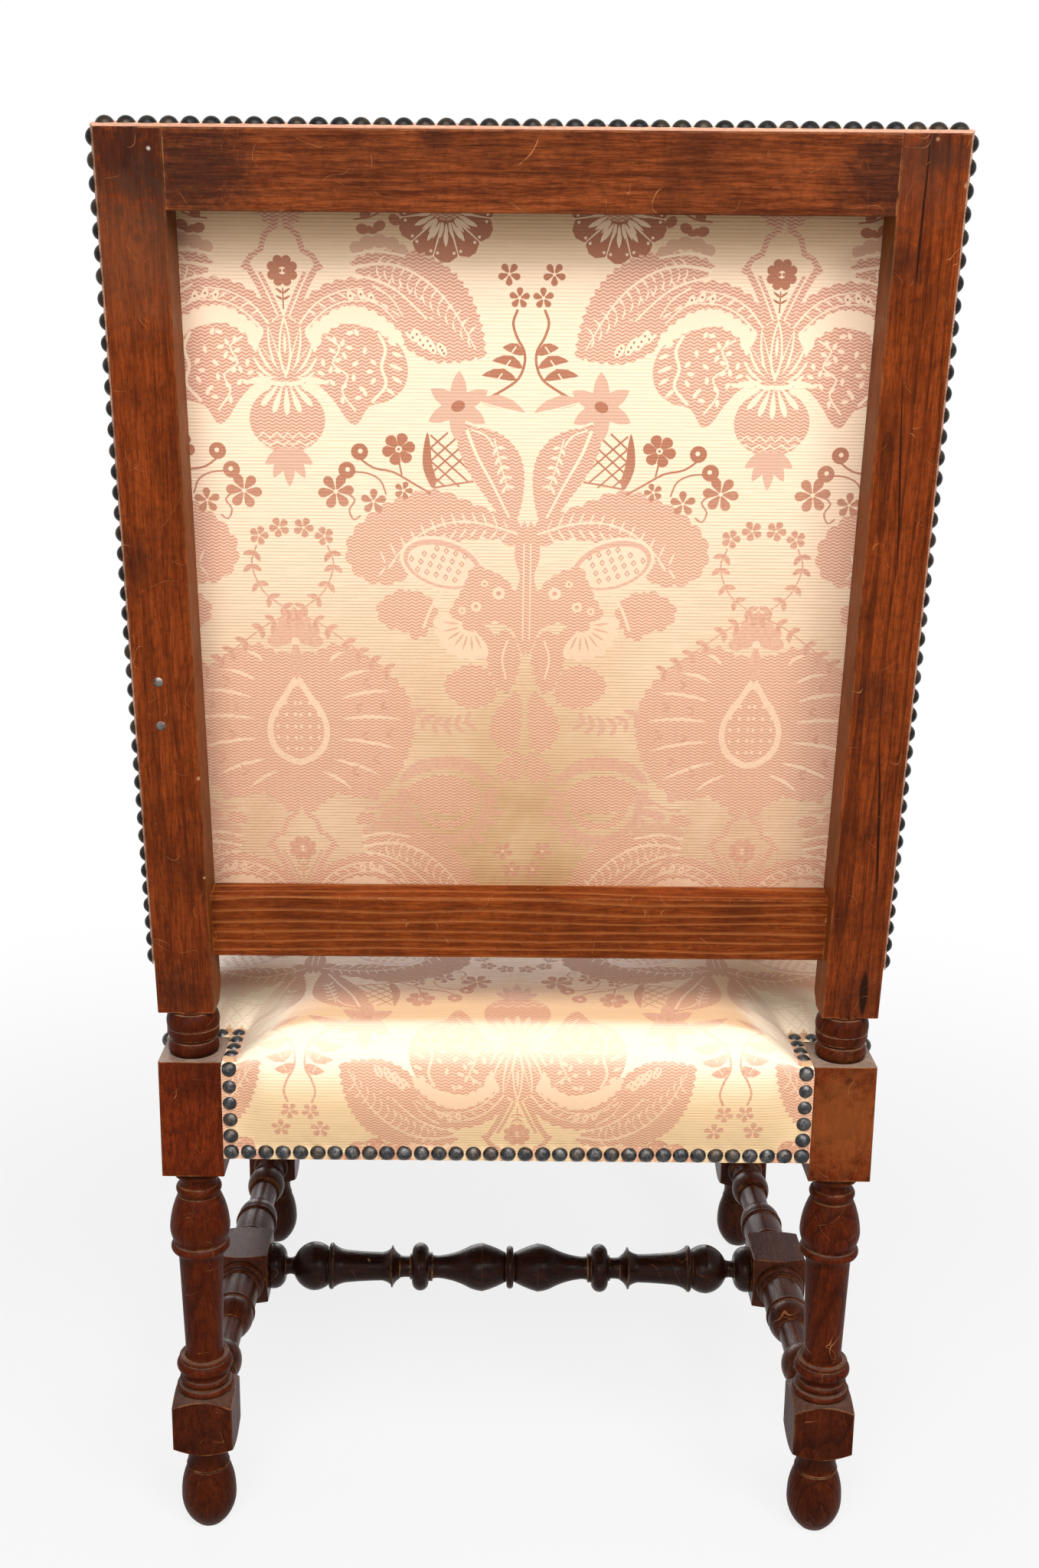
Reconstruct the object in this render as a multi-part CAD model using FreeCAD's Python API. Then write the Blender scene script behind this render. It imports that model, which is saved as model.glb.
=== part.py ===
import FreeCAD, Part
import math
import os

# An upholstered high-back side chair with turned legs and an H stretcher, in millimetres.
# The sitter faces -Y, +X is the sitter's left, and the feet stand on z = 0. While the pieces are made,
# y = 0 is the axis of the rear legs; at the end everything moves so that the origin is the middle of
# the footprint of the whole chair.

V = FreeCAD.Vector
X_AXIS = V(1, 0, 0)
Y_AXIS = V(0, 1, 0)
Z_AXIS = V(0, 0, 1)
ORIGIN = V(0, 0, 0)
SIDES = (("left", 1), ("right", -1))

# Overall sizes
OUTER_WIDTH = 550.0         # across the rear legs, the seat rails and the back
LEG_SPACING = 468.8         # from the rear leg axes to the front leg axes
LEG_SIZE = 48.3             # square stock of the legs and stretchers
STRETCHER_AXIS_HEIGHT = 99.0
OVERRUN = 5.0               # how far cutting tools pass the surface that they cut
SAME_POINT = 0.000001       # two points nearer than this are one
ARRIS_RADIUS = 1.2          # softened long edges of all squared wood

# Legs, from the floor up
FOOT_HEIGHT = 70.5          # ball foot and its neck
SHOULDER_BELOW = 11.0       # rounded shoulder under the stretcher block
STRETCHER_BLOCK = 34.0      # full square part of the stretcher block
SHOULDER_ABOVE = 8.7
SEAT_BLOCK_BOTTOM = 322.5
SEAT_BLOCK_TOP = 417.7      # top of the rear seat blocks
COLLAR_HEIGHT = 36.8        # turned collar between the seat block and the stile

# Raked stiles and rails of the back, in a frame with z up along the stiles and y = 0 at their rear face
BACK_RAKE = 8.81            # degrees
STILE_REAR_OFFSET = 15.7    # rear face of the stile behind the leg axis, at the top of the collar
STILE_LENGTH = 637.0
STILE_WIDTH = 43.0
STILE_DEPTH = 38.0
STILE_TOE_CHAMFER = 12.0    # cut off the lower front edge of the stile
TOP_RAIL_HEIGHT = 50.2
LOWER_RAIL_BOTTOM = 41.6    # height of the lower rail above the foot of the stiles
LOWER_RAIL_HEIGHT = 51.0
LOWER_RAIL_SETBACK = 15.0   # rear face of the lower rail ahead of the stiles' rear face
BACK_TENON_LENGTH = 20.0
BACK_TENON_THICKNESS = 10.0
BACK_TENON_SHOULDER = 7.0   # height that the tenon loses at each edge of its rail

# Seat rails
RAIL_BOTTOM = 338.0
COVER_THICKNESS = 2.0       # damask with its lining
RAIL_THICKNESS = 25.0
RAIL_TENON_LENGTH = 22.0
RAIL_TENON_THICKNESS = 9.0
RAIL_TENON_SHOULDER = 10.0

# Fits
TENON_CLEARANCE = 0.1       # on each side of a tenon
TENON_END_CLEARANCE = 0.5
CLOTH_CLEARANCE = 0.3       # between a cloth edge and the wood beside it
HOLE_CLEARANCE = 0.1        # round a nail's shank

# Stretchers
STRETCHER_BLOCK_HALF = 23.0  # half the full square part of the middle block
STRETCHER_SHOULDER = 6.5
ROUND_TENON_DIAMETER = 18.0
ROUND_TENON_LENGTH = 20.0
CROSS_TENON_LENGTH = 16.0

# Corner glue blocks inside the seat frame
CORNER_BLOCK_HEIGHT = 40.0
CORNER_BLOCK_REACH = 42.0   # how far the block runs along each rail past the leg

# Upholstery nails
NAIL_HEAD_DIAMETER = 12.3
NAIL_HEAD_HEIGHT = 4.4
NAIL_SHANK_DIAMETER = 1.8
NAIL_DEPTH = 9.0            # shank inside the wood
NAIL_EDGE = 6.7             # centre of a nail row from the edge of its cloth
BACK_TOP_NAILS = 41
BACK_TOP_NAIL_END = 6.0      # last nail of the row from the outer side of the stile
BACK_TOP_NAIL_INSET = 10.6   # nail row ahead of the rear face
BACK_SIDE_NAILS = 42
BACK_SIDE_NAIL_INSET = 8.4
BACK_SIDE_NAIL_TOP_GAP = 6.5  # first side nail below the top of the stile
CLOTH_EDGE_RISE = 4.0        # last side nail above the foot of the lower rail
BACK_BOTTOM_NAILS = 40
SEAT_REAR_NAILS = 34
SEAT_FRONT_NAILS = 40
SEAT_SIDE_NAILS = 34
ROW_END = 13.0              # last nail of a row from the outer face at its end
UPRIGHT_NAILS = 6           # beside a rear leg, the row's own nail included
UPRIGHT_NAIL_TOP_GAP = 4.7  # highest of them below the top of the seat
NOTCH_NAILS = 4             # on the top of the seat, along each free side of a rear leg

# Pin heads in the left stile, heights measured along the stile
PIN_DIAMETER = 7.0
PIN_HEAD_HEIGHT = 1.4
PIN_SHANK_DIAMETER = 3.0
PIN_SHANK_LENGTH = 16.0
PIN_HEIGHTS = (268.4, 235.3)
PIN_FROM_OUTER_EDGE = 17.5

# Webbing, hessian and stuffing
WEBBING_WIDTH = 50.0
WEBBING_THICKNESS = 1.2
WEBBING_EASE = 3.0          # a strap starts to rise or fall this far from the strap that it crosses
WEBBING_EDGE = 9.0          # end of a strap short of the outer face of its rail
SEAT_WEBS_LONG = 5
SEAT_WEBS_CROSS = 5
BACK_WEBS_UPRIGHT = 4
BACK_WEBS_CROSS = 5
HESSIAN_THICKNESS = 0.8
BACK_PANEL_THICKNESS = 1.0
BACK_PANEL_LAP = 34.0       # cloth lapped on to the front of the frame round its opening

# Pads: the nailed flange round a pad is flat, and the pad rises inside it
FLANGE_WIDTH = 13.4
SEAT_PAD_RISE = 42.0
BACK_PAD_RISE = 40.0
PAD_EDGE_REACH = 200.0      # the pad climbs to its full height this far in from its edge
NOTCH_FLARE = 16.0          # the pad's wall leans back this far beside a rear leg
BACK_CLOTH_EDGE = 4.0       # cloth edge ahead of the rear face of the stiles
# Each row is a share of PAD_EDGE_REACH in from the edge and a share of the pad's rise
PAD_SHARES = ((0, 0), (0.012, 0.24), (0.05, 0.46), (0.12, 0.62), (0.24, 0.77), (0.42, 0.89), (0.68, 0.97), (1, 1))
PAD_CORNER_SHARE = 0.25     # growth of the corner radius with the distance in from the edge

# Turned outlines. Each row is a length share, then the radius at its start, middle and end as shares of
# half the stock. A row without a middle is straight.
SQUARE_SHARE = 1.5          # past the corners of the stock, so that the square shows
SQUARE_SHARES = ((1, SQUARE_SHARE, None, SQUARE_SHARE),)
SHOULDER_UP_SHARES = ((1, 0.70, 1.09, SQUARE_SHARE),)
SHOULDER_DOWN_SHARES = ((1, SQUARE_SHARE, 1.21, 0.89),)
FOOT_SHARES = (
    (28.0, 0.48, 0.85, 0.925),
    (24.5, 0.925, 0.87, 0.71),
    (1.5, 0.66, None, 0.66),
    (10.0, 0.73, 0.67, 0.66),
    (6.5, 0.66, 0.67, 0.70),
)
COLUMN_SHARES = (
    (5.6, 0.86, 0.95, 0.86),
    (2.2, 0.77, None, 0.77),
    (4.2, 0.78, 0.84, 0.77),
    (5.0, 0.74, 0.70, 0.76),
    (10.2, 0.78, 0.93, 0.78),
    (2.8, 0.79, 0.84, 0.73),
    (4.3, 0.67, 0.63, 0.62),
    (83.5, 0.62, None, 0.73),
    (6.2, 0.73, 0.745, 0.79),
    (7.6, 0.85, 0.97, 0.85),
    (1.6, 0.83, None, 0.83),
    (14.6, 0.86, 0.97, 0.975),
    (25.0, 0.975, 0.88, 0.69),
    (1.5, 0.65, None, 0.65),
    (7.0, 0.68, 0.745, 0.68),
    (8.5, 0.64, 0.62, 0.72),
    (4.0, 0.75, 0.80, 0.75),
    (4.5, 0.72, None, 0.74),
)
COLLAR_SHARES = (
    (10.8, 0.75, 0.81, 0.73),
    (2.8, 0.70, 0.69, 0.71),
    (7.7, 0.78, 0.825, 0.83),
    (0.9, 0.81, None, 0.81),
    (12.4, 0.83, 0.84, 0.74),
    (2.2, 0.71, None, 0.71),
)
COLLAR_STUB = 4.0           # the collar's core inside the stile
COLLAR_STUB_SHARES = ((1, 0.60, None, 0.60),)
TENON_SHARES = ((1, 1, None, 1),)
SIDE_STRETCHER_SHARES = (
    (7.3, 0.83, 0.895, 0.77),
    (1.2, 0.74, None, 0.74),
    (6.2, 0.76, 0.81, 0.74),
    (1.3, 0.71, None, 0.71),
    (32.5, 0.74, 0.76, 0.755),
    (1.2, 0.72, None, 0.72),
    (5.6, 0.76, 0.83, 0.755),
    (14.4, 0.77, 0.795, 0.73),
    (9.3, 0.73, 0.67, 0.555),
    (38.0, 0.53, 0.52, 0.54),
    (1.6, 0.61, None, 0.61),
    (25.5, 0.65, 0.77, 0.65),
    (1.8, 0.57, None, 0.57),
    (6.0, 0.61, 0.68, 0.61),
    (16.5, 0.55, 0.53, 0.60),
    (8.5, 0.66, 0.745, 0.66),
    (3.9, 0.62, None, 0.62),
)
CROSS_STRETCHER_SHARES = (
    (3.2, 0.81, 0.795, 0.72),
    (1.0, 0.56, None, 0.56),
    (21.8, 0.56, 0.77, 0.915),
    (16.0, 0.915, 0.855, 0.715),
    (24.0, 0.715, 0.53, 0.435),
    (7.2, 0.435, 0.43, 0.46),
    (3.8, 0.55, None, 0.55),
    (15.4, 0.65, 0.91, 0.62),
    (2.0, 0.49, None, 0.49),
    (9.6, 0.41, 0.40, 0.43),
    (6.6, 0.455, 0.555, 0.76),
    (1.6, 0.76, 0.80, 0.755),
    (8.8, 0.70, 0.59, 0.54),
    (33.0, 0.54, 0.565, 0.62),
    (12.5, 0.62, 0.68, 0.82),
    (3.8, 0.835, 0.885, 0.745),
    (1.8, 0.71, None, 0.71),
    (13.4, 0.74, 0.885, 0.93),
    (17.5, 0.93, 0.81, 0.43),
    (9.0, 0.39, 0.315, 0.38),
    (14.7, 0.52, 0.845, 0.85),
)

# Worked out from the sizes above
HALF_WIDTH = OUTER_WIDTH / 2
HALF_STOCK = LEG_SIZE / 2
LEG_X = HALF_WIDTH - HALF_STOCK
BLOCK_INNER_X = HALF_WIDTH - LEG_SIZE
FRONT_LEG_Y = -LEG_SPACING
REAR_FACE = HALF_STOCK
FRONT_FACE = FRONT_LEG_Y - HALF_STOCK
RAIL_TOP = SEAT_BLOCK_TOP - COVER_THICKNESS
COLLAR_TOP = SEAT_BLOCK_TOP + COLLAR_HEIGHT
OPENING_HALF = HALF_WIDTH - STILE_WIDTH
TOP_RAIL_BOTTOM = STILE_LENGTH - TOP_RAIL_HEIGHT
LOWER_RAIL_TOP = LOWER_RAIL_BOTTOM + LOWER_RAIL_HEIGHT
STRETCHER_BLOCK_BOTTOM = FOOT_HEIGHT + SHOULDER_BELOW
STRETCHER_BLOCK_TOP = STRETCHER_BLOCK_BOTTOM + STRETCHER_BLOCK
COLUMN_BOTTOM = STRETCHER_BLOCK_TOP + SHOULDER_ABOVE
MID_Y = FRONT_LEG_Y / 2


def box(low, high):
    """A box between two corners, given in any order."""
    corner = V(min(low.x, high.x), min(low.y, high.y), min(low.z, high.z))
    return Part.makeBox(abs(high.x - low.x), abs(high.y - low.y), abs(high.z - low.z), corner)


def softened(low, high, axis):
    """A squared stick whose long edges, along one axis, are rounded."""
    stick = box(low, high)
    long_edges = []
    for edge in stick.Edges:
        if edge.tangentAt(edge.FirstParameter).cross(axis).Length < SAME_POINT:
            long_edges.append(edge)
    return stick.makeFillet(ARRIS_RADIUS, long_edges)


def prism(points, direction):
    """The solid that a polygon sweeps along a vector."""
    return Part.Face(Part.makePolygon(points + points[:1])).extrude(direction)


def fused(shapes):
    """Several solids that meet or overlap as one."""
    return shapes[0].multiFuse(shapes[1:]).removeSplitter()


def mortise(tenon, direction):
    """The room for a square tenon, with clearance at its sides and past its end."""
    bounds = tenon.BoundBox
    far_end = FreeCAD.BoundBox(bounds)
    far_end.move(direction * TENON_END_CLEARANCE)
    bounds.add(far_end)
    bounds.enlarge(TENON_CLEARANCE)
    corner = V(bounds.XMin, bounds.YMin, bounds.ZMin)
    return Part.makeBox(bounds.XLength, bounds.YLength, bounds.ZLength, corner)


def round_mortise(start, direction, depth):
    """The room for a round stretcher tenon."""
    radius = ROUND_TENON_DIAMETER / 2 + TENON_CLEARANCE
    back = start - direction * TENON_CLEARANCE
    return Part.makeCylinder(radius, depth + TENON_CLEARANCE + TENON_END_CLEARANCE, back, direction)


def sided(shape, side):
    """A shape drawn for the left side, or its mirror image for the right side."""
    return shape if side > 0 else shape.mirror(ORIGIN, X_AXIS)


def placed(shape, placement):
    """A copy of a shape, carried by a placement from the frame that it was drawn in."""
    moved = shape.copy()
    moved.Placement = placement.multiply(shape.Placement)
    return moved


def turned(sections):
    """Solid of revolution about Z. Each section is its base height, length, radius and rows of shares."""
    edges = []
    foot = V(0, 0, sections[0][0])
    last = foot
    for base, length, radius, rows in sections:
        unit = length / sum(row[0] for row in rows)
        height = base
        for share, start, middle, end in rows:
            top = height + share * unit
            first = V(start * radius, 0, height)
            final = V(end * radius, 0, top)
            if not last.isEqual(first, SAME_POINT):
                edges.append(Part.LineSegment(last, first).toShape())
            if middle is None:
                edges.append(Part.LineSegment(first, final).toShape())
            else:
                waist = V(middle * radius, 0, (height + top) / 2)
                edges.append(Part.Arc(first, waist, final).toShape())
            last = final
            height = top
    end_point = V(0, 0, last.z)
    edges.append(Part.LineSegment(last, end_point).toShape())
    edges.append(Part.LineSegment(end_point, foot).toShape())
    return Part.Face(Part.Wire(edges)).revolve(ORIGIN, Z_AXIS, math.degrees(2 * math.pi))


def both_ways(half):
    """The sections of a turning that is alike on both sides of height 0, from its upper half."""
    lower = []
    for base, length, radius, rows in reversed(half):
        turned_over = tuple((share, end, middle, start) for share, start, middle, end in reversed(rows))
        lower.append((-base - length, length, radius, turned_over))
    return lower + half


def squared(core, bottom, top):
    """A turning cut from square stock that stands about Z."""
    low = V(-HALF_STOCK, -HALF_STOCK, bottom - OVERRUN)
    high = V(HALF_STOCK, HALF_STOCK, top + OVERRUN)
    return core.common(softened(low, high, Z_AXIS))


# The frame of the back: upright along the stiles, y = 0 at their rear face
RAKED = FreeCAD.Placement(V(0, STILE_REAR_OFFSET, COLLAR_TOP), FreeCAD.Rotation(X_AXIS, -BACK_RAKE))
# The frame of the front of the back: x across, y up along the stiles, z forward from their front face
QUARTER_TURN = 90.0
BACK_FRONT = RAKED.multiply(FreeCAD.Placement(V(0, -STILE_DEPTH, 0), FreeCAD.Rotation(X_AXIS, QUARTER_TURN)))
LYING_ALONG_X = FreeCAD.Rotation(Y_AXIS, QUARTER_TURN)
LYING_ALONG_Y = FreeCAD.Rotation(X_AXIS, -QUARTER_TURN)


# Nails: each place is a point on the cloth and the direction that the head faces

def spaced(first, last, count):
    """Evenly spaced values, both ends included."""
    return [first + (last - first) * index / (count - 1) for index in range(count)]


def mirrored_places(places):
    """Nail places and their mirror images on the right side."""
    return places + [(V(-point.x, point.y, point.z), V(-face.x, face.y, face.z)) for point, face in places]


def carried_places(places, placement):
    """Nail places carried from the frame that they were drawn in."""
    return [(placement.multVec(point), placement.Rotation.multVec(face)) for point, face in places]


SEAT_NAIL_X = BLOCK_INNER_X - CLOTH_CLEARANCE - NAIL_HEAD_DIAMETER / 2
SEAT_NAIL_Y = -HALF_STOCK - CLOTH_CLEARANCE - NAIL_HEAD_DIAMETER / 2
SEAT_NAIL_Z = RAIL_BOTTOM + NAIL_EDGE
NOTCH_NAIL_PITCH = (REAR_FACE - SEAT_NAIL_Y) / NOTCH_NAILS
UPRIGHT_NAIL_HEIGHTS = spaced(SEAT_NAIL_Z, SEAT_BLOCK_TOP - UPRIGHT_NAIL_TOP_GAP, UPRIGHT_NAILS)[1:]


def seat_rear_places():
    """The rear row, and the runs beside the rear legs up the rear face and on to the top."""
    cloth_y = REAR_FACE + COVER_THICKNESS
    row = [(V(x, cloth_y, SEAT_NAIL_Z), Y_AXIS) for x in spaced(-SEAT_NAIL_X, SEAT_NAIL_X, SEAT_REAR_NAILS)]
    left = [(V(SEAT_NAIL_X, cloth_y, z), Y_AXIS) for z in UPRIGHT_NAIL_HEIGHTS]
    for step in range(NOTCH_NAILS):
        left.append((V(SEAT_NAIL_X, REAR_FACE - NOTCH_NAIL_PITCH * (step + 1), SEAT_BLOCK_TOP), Z_AXIS))
    return row + mirrored_places(left)


def seat_left_places():
    """The left side row, the run up ahead of the rear leg and the run on the top ahead of it."""
    cloth_x = HALF_WIDTH + COVER_THICKNESS
    last_y = FRONT_FACE + ROW_END
    places = [(V(cloth_x, y, SEAT_NAIL_Z), X_AXIS) for y in spaced(SEAT_NAIL_Y, last_y, SEAT_SIDE_NAILS)]
    places += [(V(cloth_x, SEAT_NAIL_Y, z), X_AXIS) for z in UPRIGHT_NAIL_HEIGHTS]
    for step in range(NOTCH_NAILS - 1):
        x = HALF_WIDTH - NOTCH_NAIL_PITCH * (step + 1)
        places.append((V(x, SEAT_NAIL_Y, SEAT_BLOCK_TOP), Z_AXIS))
    return places


def seat_front_places():
    """The row along the front of the seat."""
    cloth_y = FRONT_FACE - COVER_THICKNESS
    reach = HALF_WIDTH - ROW_END
    return [(V(x, cloth_y, SEAT_NAIL_Z), -Y_AXIS) for x in spaced(-reach, reach, SEAT_FRONT_NAILS)]


def back_top_places():
    """The row along the top of the back, in the frame of the stiles."""
    cloth_z = STILE_LENGTH + COVER_THICKNESS
    reach = HALF_WIDTH - BACK_TOP_NAIL_END
    places = [(V(x, -BACK_TOP_NAIL_INSET, cloth_z), Z_AXIS) for x in spaced(-reach, reach, BACK_TOP_NAILS)]
    return carried_places(places, RAKED)


def back_left_places():
    """The row along the outer side of the left stile."""
    top = STILE_LENGTH - BACK_SIDE_NAIL_TOP_GAP
    bottom = LOWER_RAIL_BOTTOM + CLOTH_EDGE_RISE
    cloth_x = HALF_WIDTH + COVER_THICKNESS
    places = [(V(cloth_x, -BACK_SIDE_NAIL_INSET, z), X_AXIS) for z in spaced(top, bottom, BACK_SIDE_NAILS)]
    return carried_places(places, RAKED)


def back_bottom_places():
    """The row along the front of the lower rail, in the frame of the front of the back."""
    height = LOWER_RAIL_BOTTOM + CLOTH_CLEARANCE + NAIL_EDGE
    reach = HALF_WIDTH - ROW_END
    places = [(V(x, height, COVER_THICKNESS), Z_AXIS) for x in spaced(-reach, reach, BACK_BOTTOM_NAILS)]
    return carried_places(places, BACK_FRONT)


def pin_places():
    """The two pin heads in the rear face of the left stile."""
    x = HALF_WIDTH - PIN_FROM_OUTER_EDGE
    return carried_places([(V(x, 0, height), Y_AXIS) for height in PIN_HEIGHTS], RAKED)


def domed_pin(head_diameter, head_height, shank_diameter, shank_length):
    """A domed head on a round shank, with the underside of the head at height 0."""
    head = head_diameter / 2
    dome_radius = (head * head + head_height * head_height) / (2 * head_height)
    centre = head_height - dome_radius
    half_angle = math.asin(head / dome_radius) / 2
    rim = V(head, 0, 0)
    waist = V(dome_radius * math.sin(half_angle), 0, centre + dome_radius * math.cos(half_angle))
    crown = V(0, 0, head_height)
    shank = shank_diameter / 2
    edges = [Part.Arc(crown, waist, rim).toShape()]
    edges.append(Part.LineSegment(rim, V(shank, 0, 0)).toShape())
    edges.append(Part.LineSegment(V(shank, 0, 0), V(shank, 0, -shank_length)).toShape())
    edges.append(Part.LineSegment(V(shank, 0, -shank_length), V(0, 0, -shank_length)).toShape())
    edges.append(Part.LineSegment(V(0, 0, -shank_length), crown).toShape())
    return Part.Face(Part.Wire(edges)).revolve(ORIGIN, Z_AXIS, math.degrees(2 * math.pi))


def at_places(shape, places):
    """A copy of an upright shape at each place."""
    copies = []
    for point, face in places:
        copies.append(placed(shape, FreeCAD.Placement(point, FreeCAD.Rotation(Z_AXIS, face))))
    return copies


def nails_at(places):
    """A group of upholstery nails."""
    nail = domed_pin(NAIL_HEAD_DIAMETER, NAIL_HEAD_HEIGHT, NAIL_SHANK_DIAMETER, COVER_THICKNESS + NAIL_DEPTH)
    return Part.makeCompound(at_places(nail, places))


def holes_at(places, shank_diameter, depth):
    """Drills for the shanks at the given places."""
    radius = shank_diameter / 2 + HOLE_CLEARANCE
    length = OVERRUN + depth + HOLE_CLEARANCE
    drill = Part.makeCylinder(radius, length, V(0, 0, -depth - HOLE_CLEARANCE), Z_AXIS)
    return at_places(drill, places)


def all_nail_holes():
    """Every nail hole in the chair."""
    left = seat_left_places() + back_left_places()
    places = seat_rear_places() + seat_front_places() + mirrored_places(left)
    places += back_top_places() + back_bottom_places()
    return holes_at(places, NAIL_SHANK_DIAMETER, COVER_THICKNESS + NAIL_DEPTH)


NAIL_HOLES = all_nail_holes()


def nailed(piece):
    """A piece with the holes of the nails that go into it."""
    bounds = piece.BoundBox
    return piece.cut([hole for hole in NAIL_HOLES if bounds.intersect(hole.BoundBox)])


# Seat rails and their tenons, drawn for the left side, the front or the rear

def side_rail_tenon(leg_y, inward):
    """The tenon of a side rail in one leg; inward points from the leg to the rail."""
    x = HALF_WIDTH - RAIL_THICKNESS / 2
    face = leg_y + inward * HALF_STOCK
    low = V(x - RAIL_TENON_THICKNESS / 2, face, RAIL_BOTTOM + RAIL_TENON_SHOULDER)
    high = V(x + RAIL_TENON_THICKNESS / 2, face - inward * RAIL_TENON_LENGTH, RAIL_TOP - RAIL_TENON_SHOULDER)
    return box(low, high)


def cross_rail_tenon(leg_y, inward):
    """The left tenon of the front or rear rail."""
    y = leg_y - inward * (HALF_STOCK - RAIL_THICKNESS / 2)
    low = V(BLOCK_INNER_X, y - RAIL_TENON_THICKNESS / 2, RAIL_BOTTOM + RAIL_TENON_SHOULDER)
    high = V(BLOCK_INNER_X + RAIL_TENON_LENGTH, y + RAIL_TENON_THICKNESS / 2, RAIL_TOP - RAIL_TENON_SHOULDER)
    return box(low, high)


def seat_side_rail(side):
    low = V(HALF_WIDTH - RAIL_THICKNESS, FRONT_LEG_Y + HALF_STOCK, RAIL_BOTTOM)
    high = V(HALF_WIDTH, -HALF_STOCK, RAIL_TOP)
    parts = [softened(low, high, Y_AXIS), side_rail_tenon(0, -1), side_rail_tenon(FRONT_LEG_Y, 1)]
    return nailed(sided(fused(parts), side))


def seat_cross_rail(leg_y, inward):
    outer_y = leg_y - inward * HALF_STOCK
    low = V(-BLOCK_INNER_X, outer_y, RAIL_BOTTOM)
    high = V(BLOCK_INNER_X, outer_y + inward * RAIL_THICKNESS, RAIL_TOP)
    tenon = cross_rail_tenon(leg_y, inward)
    return nailed(fused([softened(low, high, X_AXIS), tenon, sided(tenon, -1)]))


def corner_block(side, leg_y, inward):
    """A glue block in the corner of the seat frame, fitted round the leg."""
    leg_face = leg_y + inward * HALF_STOCK
    rail_face = leg_y - inward * (HALF_STOCK - RAIL_THICKNESS)
    side_face = HALF_WIDTH - RAIL_THICKNESS
    base = RAIL_TOP - CORNER_BLOCK_HEIGHT
    points = [
        V(BLOCK_INNER_X, rail_face, base),
        V(BLOCK_INNER_X - CORNER_BLOCK_REACH, rail_face, base),
        V(side_face, leg_face + inward * CORNER_BLOCK_REACH, base),
        V(side_face, leg_face, base),
        V(BLOCK_INNER_X, leg_face, base),
    ]
    return nailed(sided(prism(points, V(0, 0, CORNER_BLOCK_HEIGHT)), side))


# Legs

def leg_sections(block_top):
    """The turning that front and rear legs share, up to the top of the seat block."""
    return [
        (0, FOOT_HEIGHT, HALF_STOCK, FOOT_SHARES),
        (FOOT_HEIGHT, SHOULDER_BELOW, HALF_STOCK, SHOULDER_UP_SHARES),
        (STRETCHER_BLOCK_BOTTOM, STRETCHER_BLOCK, HALF_STOCK, SQUARE_SHARES),
        (STRETCHER_BLOCK_TOP, SHOULDER_ABOVE, HALF_STOCK, SHOULDER_DOWN_SHARES),
        (COLUMN_BOTTOM, SEAT_BLOCK_BOTTOM - COLUMN_BOTTOM, HALF_STOCK, COLUMN_SHARES),
        (SEAT_BLOCK_BOTTOM, block_top - SEAT_BLOCK_BOTTOM, HALF_STOCK, SQUARE_SHARES),
    ]


def top_rail_tenon():
    low = V(OPENING_HALF, -(STILE_DEPTH + BACK_TENON_THICKNESS) / 2, TOP_RAIL_BOTTOM + BACK_TENON_SHOULDER)
    high = low + V(BACK_TENON_LENGTH, BACK_TENON_THICKNESS, TOP_RAIL_HEIGHT - 2 * BACK_TENON_SHOULDER)
    return box(low, high)


def lower_rail_tenon():
    middle = -(STILE_DEPTH + LOWER_RAIL_SETBACK) / 2
    low = V(OPENING_HALF, middle - BACK_TENON_THICKNESS / 2, LOWER_RAIL_BOTTOM + BACK_TENON_SHOULDER)
    high = low + V(BACK_TENON_LENGTH, BACK_TENON_THICKNESS, LOWER_RAIL_HEIGHT - 2 * BACK_TENON_SHOULDER)
    return box(low, high)


def left_stile():
    """The raked stile, cut level at its foot, with its mortises and its toe chamfer."""
    low = V(OPENING_HALF, -STILE_DEPTH, -STILE_DEPTH)
    stile = softened(low, V(HALF_WIDTH, 0, STILE_LENGTH), Z_AXIS)
    stile = stile.cut([mortise(top_rail_tenon(), X_AXIS), mortise(lower_rail_tenon(), X_AXIS)])
    stile = placed(stile, RAKED)
    front = STILE_REAR_OFFSET - STILE_DEPTH / math.cos(math.radians(BACK_RAKE))
    below = box(V(0, front - STILE_DEPTH, COLLAR_TOP), V(OUTER_WIDTH, STILE_DEPTH, COLLAR_TOP - OUTER_WIDTH))
    toe = prism([
        V(0, front + STILE_TOE_CHAMFER + OVERRUN, COLLAR_TOP - OVERRUN),
        V(0, front - OVERRUN, COLLAR_TOP + STILE_TOE_CHAMFER + OVERRUN),
        V(0, front - OVERRUN, COLLAR_TOP - OVERRUN),
    ], V(OUTER_WIDTH, 0, 0))
    return stile.cut([below, toe])


def rear_leg(side):
    """Foot, turnings, blocks, collar and raked stile, all from one piece of wood."""
    sections = leg_sections(SEAT_BLOCK_TOP)
    sections.append((SEAT_BLOCK_TOP, COLLAR_HEIGHT, HALF_STOCK, COLLAR_SHARES))
    sections.append((COLLAR_TOP, COLLAR_STUB, HALF_STOCK, COLLAR_STUB_SHARES))
    post = squared(turned(sections), 0, COLLAR_TOP + COLLAR_STUB)
    post.translate(V(LEG_X, 0, 0))
    cuts = [
        mortise(side_rail_tenon(0, -1), Y_AXIS),
        mortise(cross_rail_tenon(0, -1), X_AXIS),
        round_mortise(V(LEG_X, -HALF_STOCK, STRETCHER_AXIS_HEIGHT), Y_AXIS, ROUND_TENON_LENGTH),
    ]
    leg = fused([post.cut(cuts), left_stile()])
    if side > 0:
        leg = leg.cut(holes_at(pin_places(), PIN_SHANK_DIAMETER, PIN_SHANK_LENGTH))
    return nailed(sided(leg, side))


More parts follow.
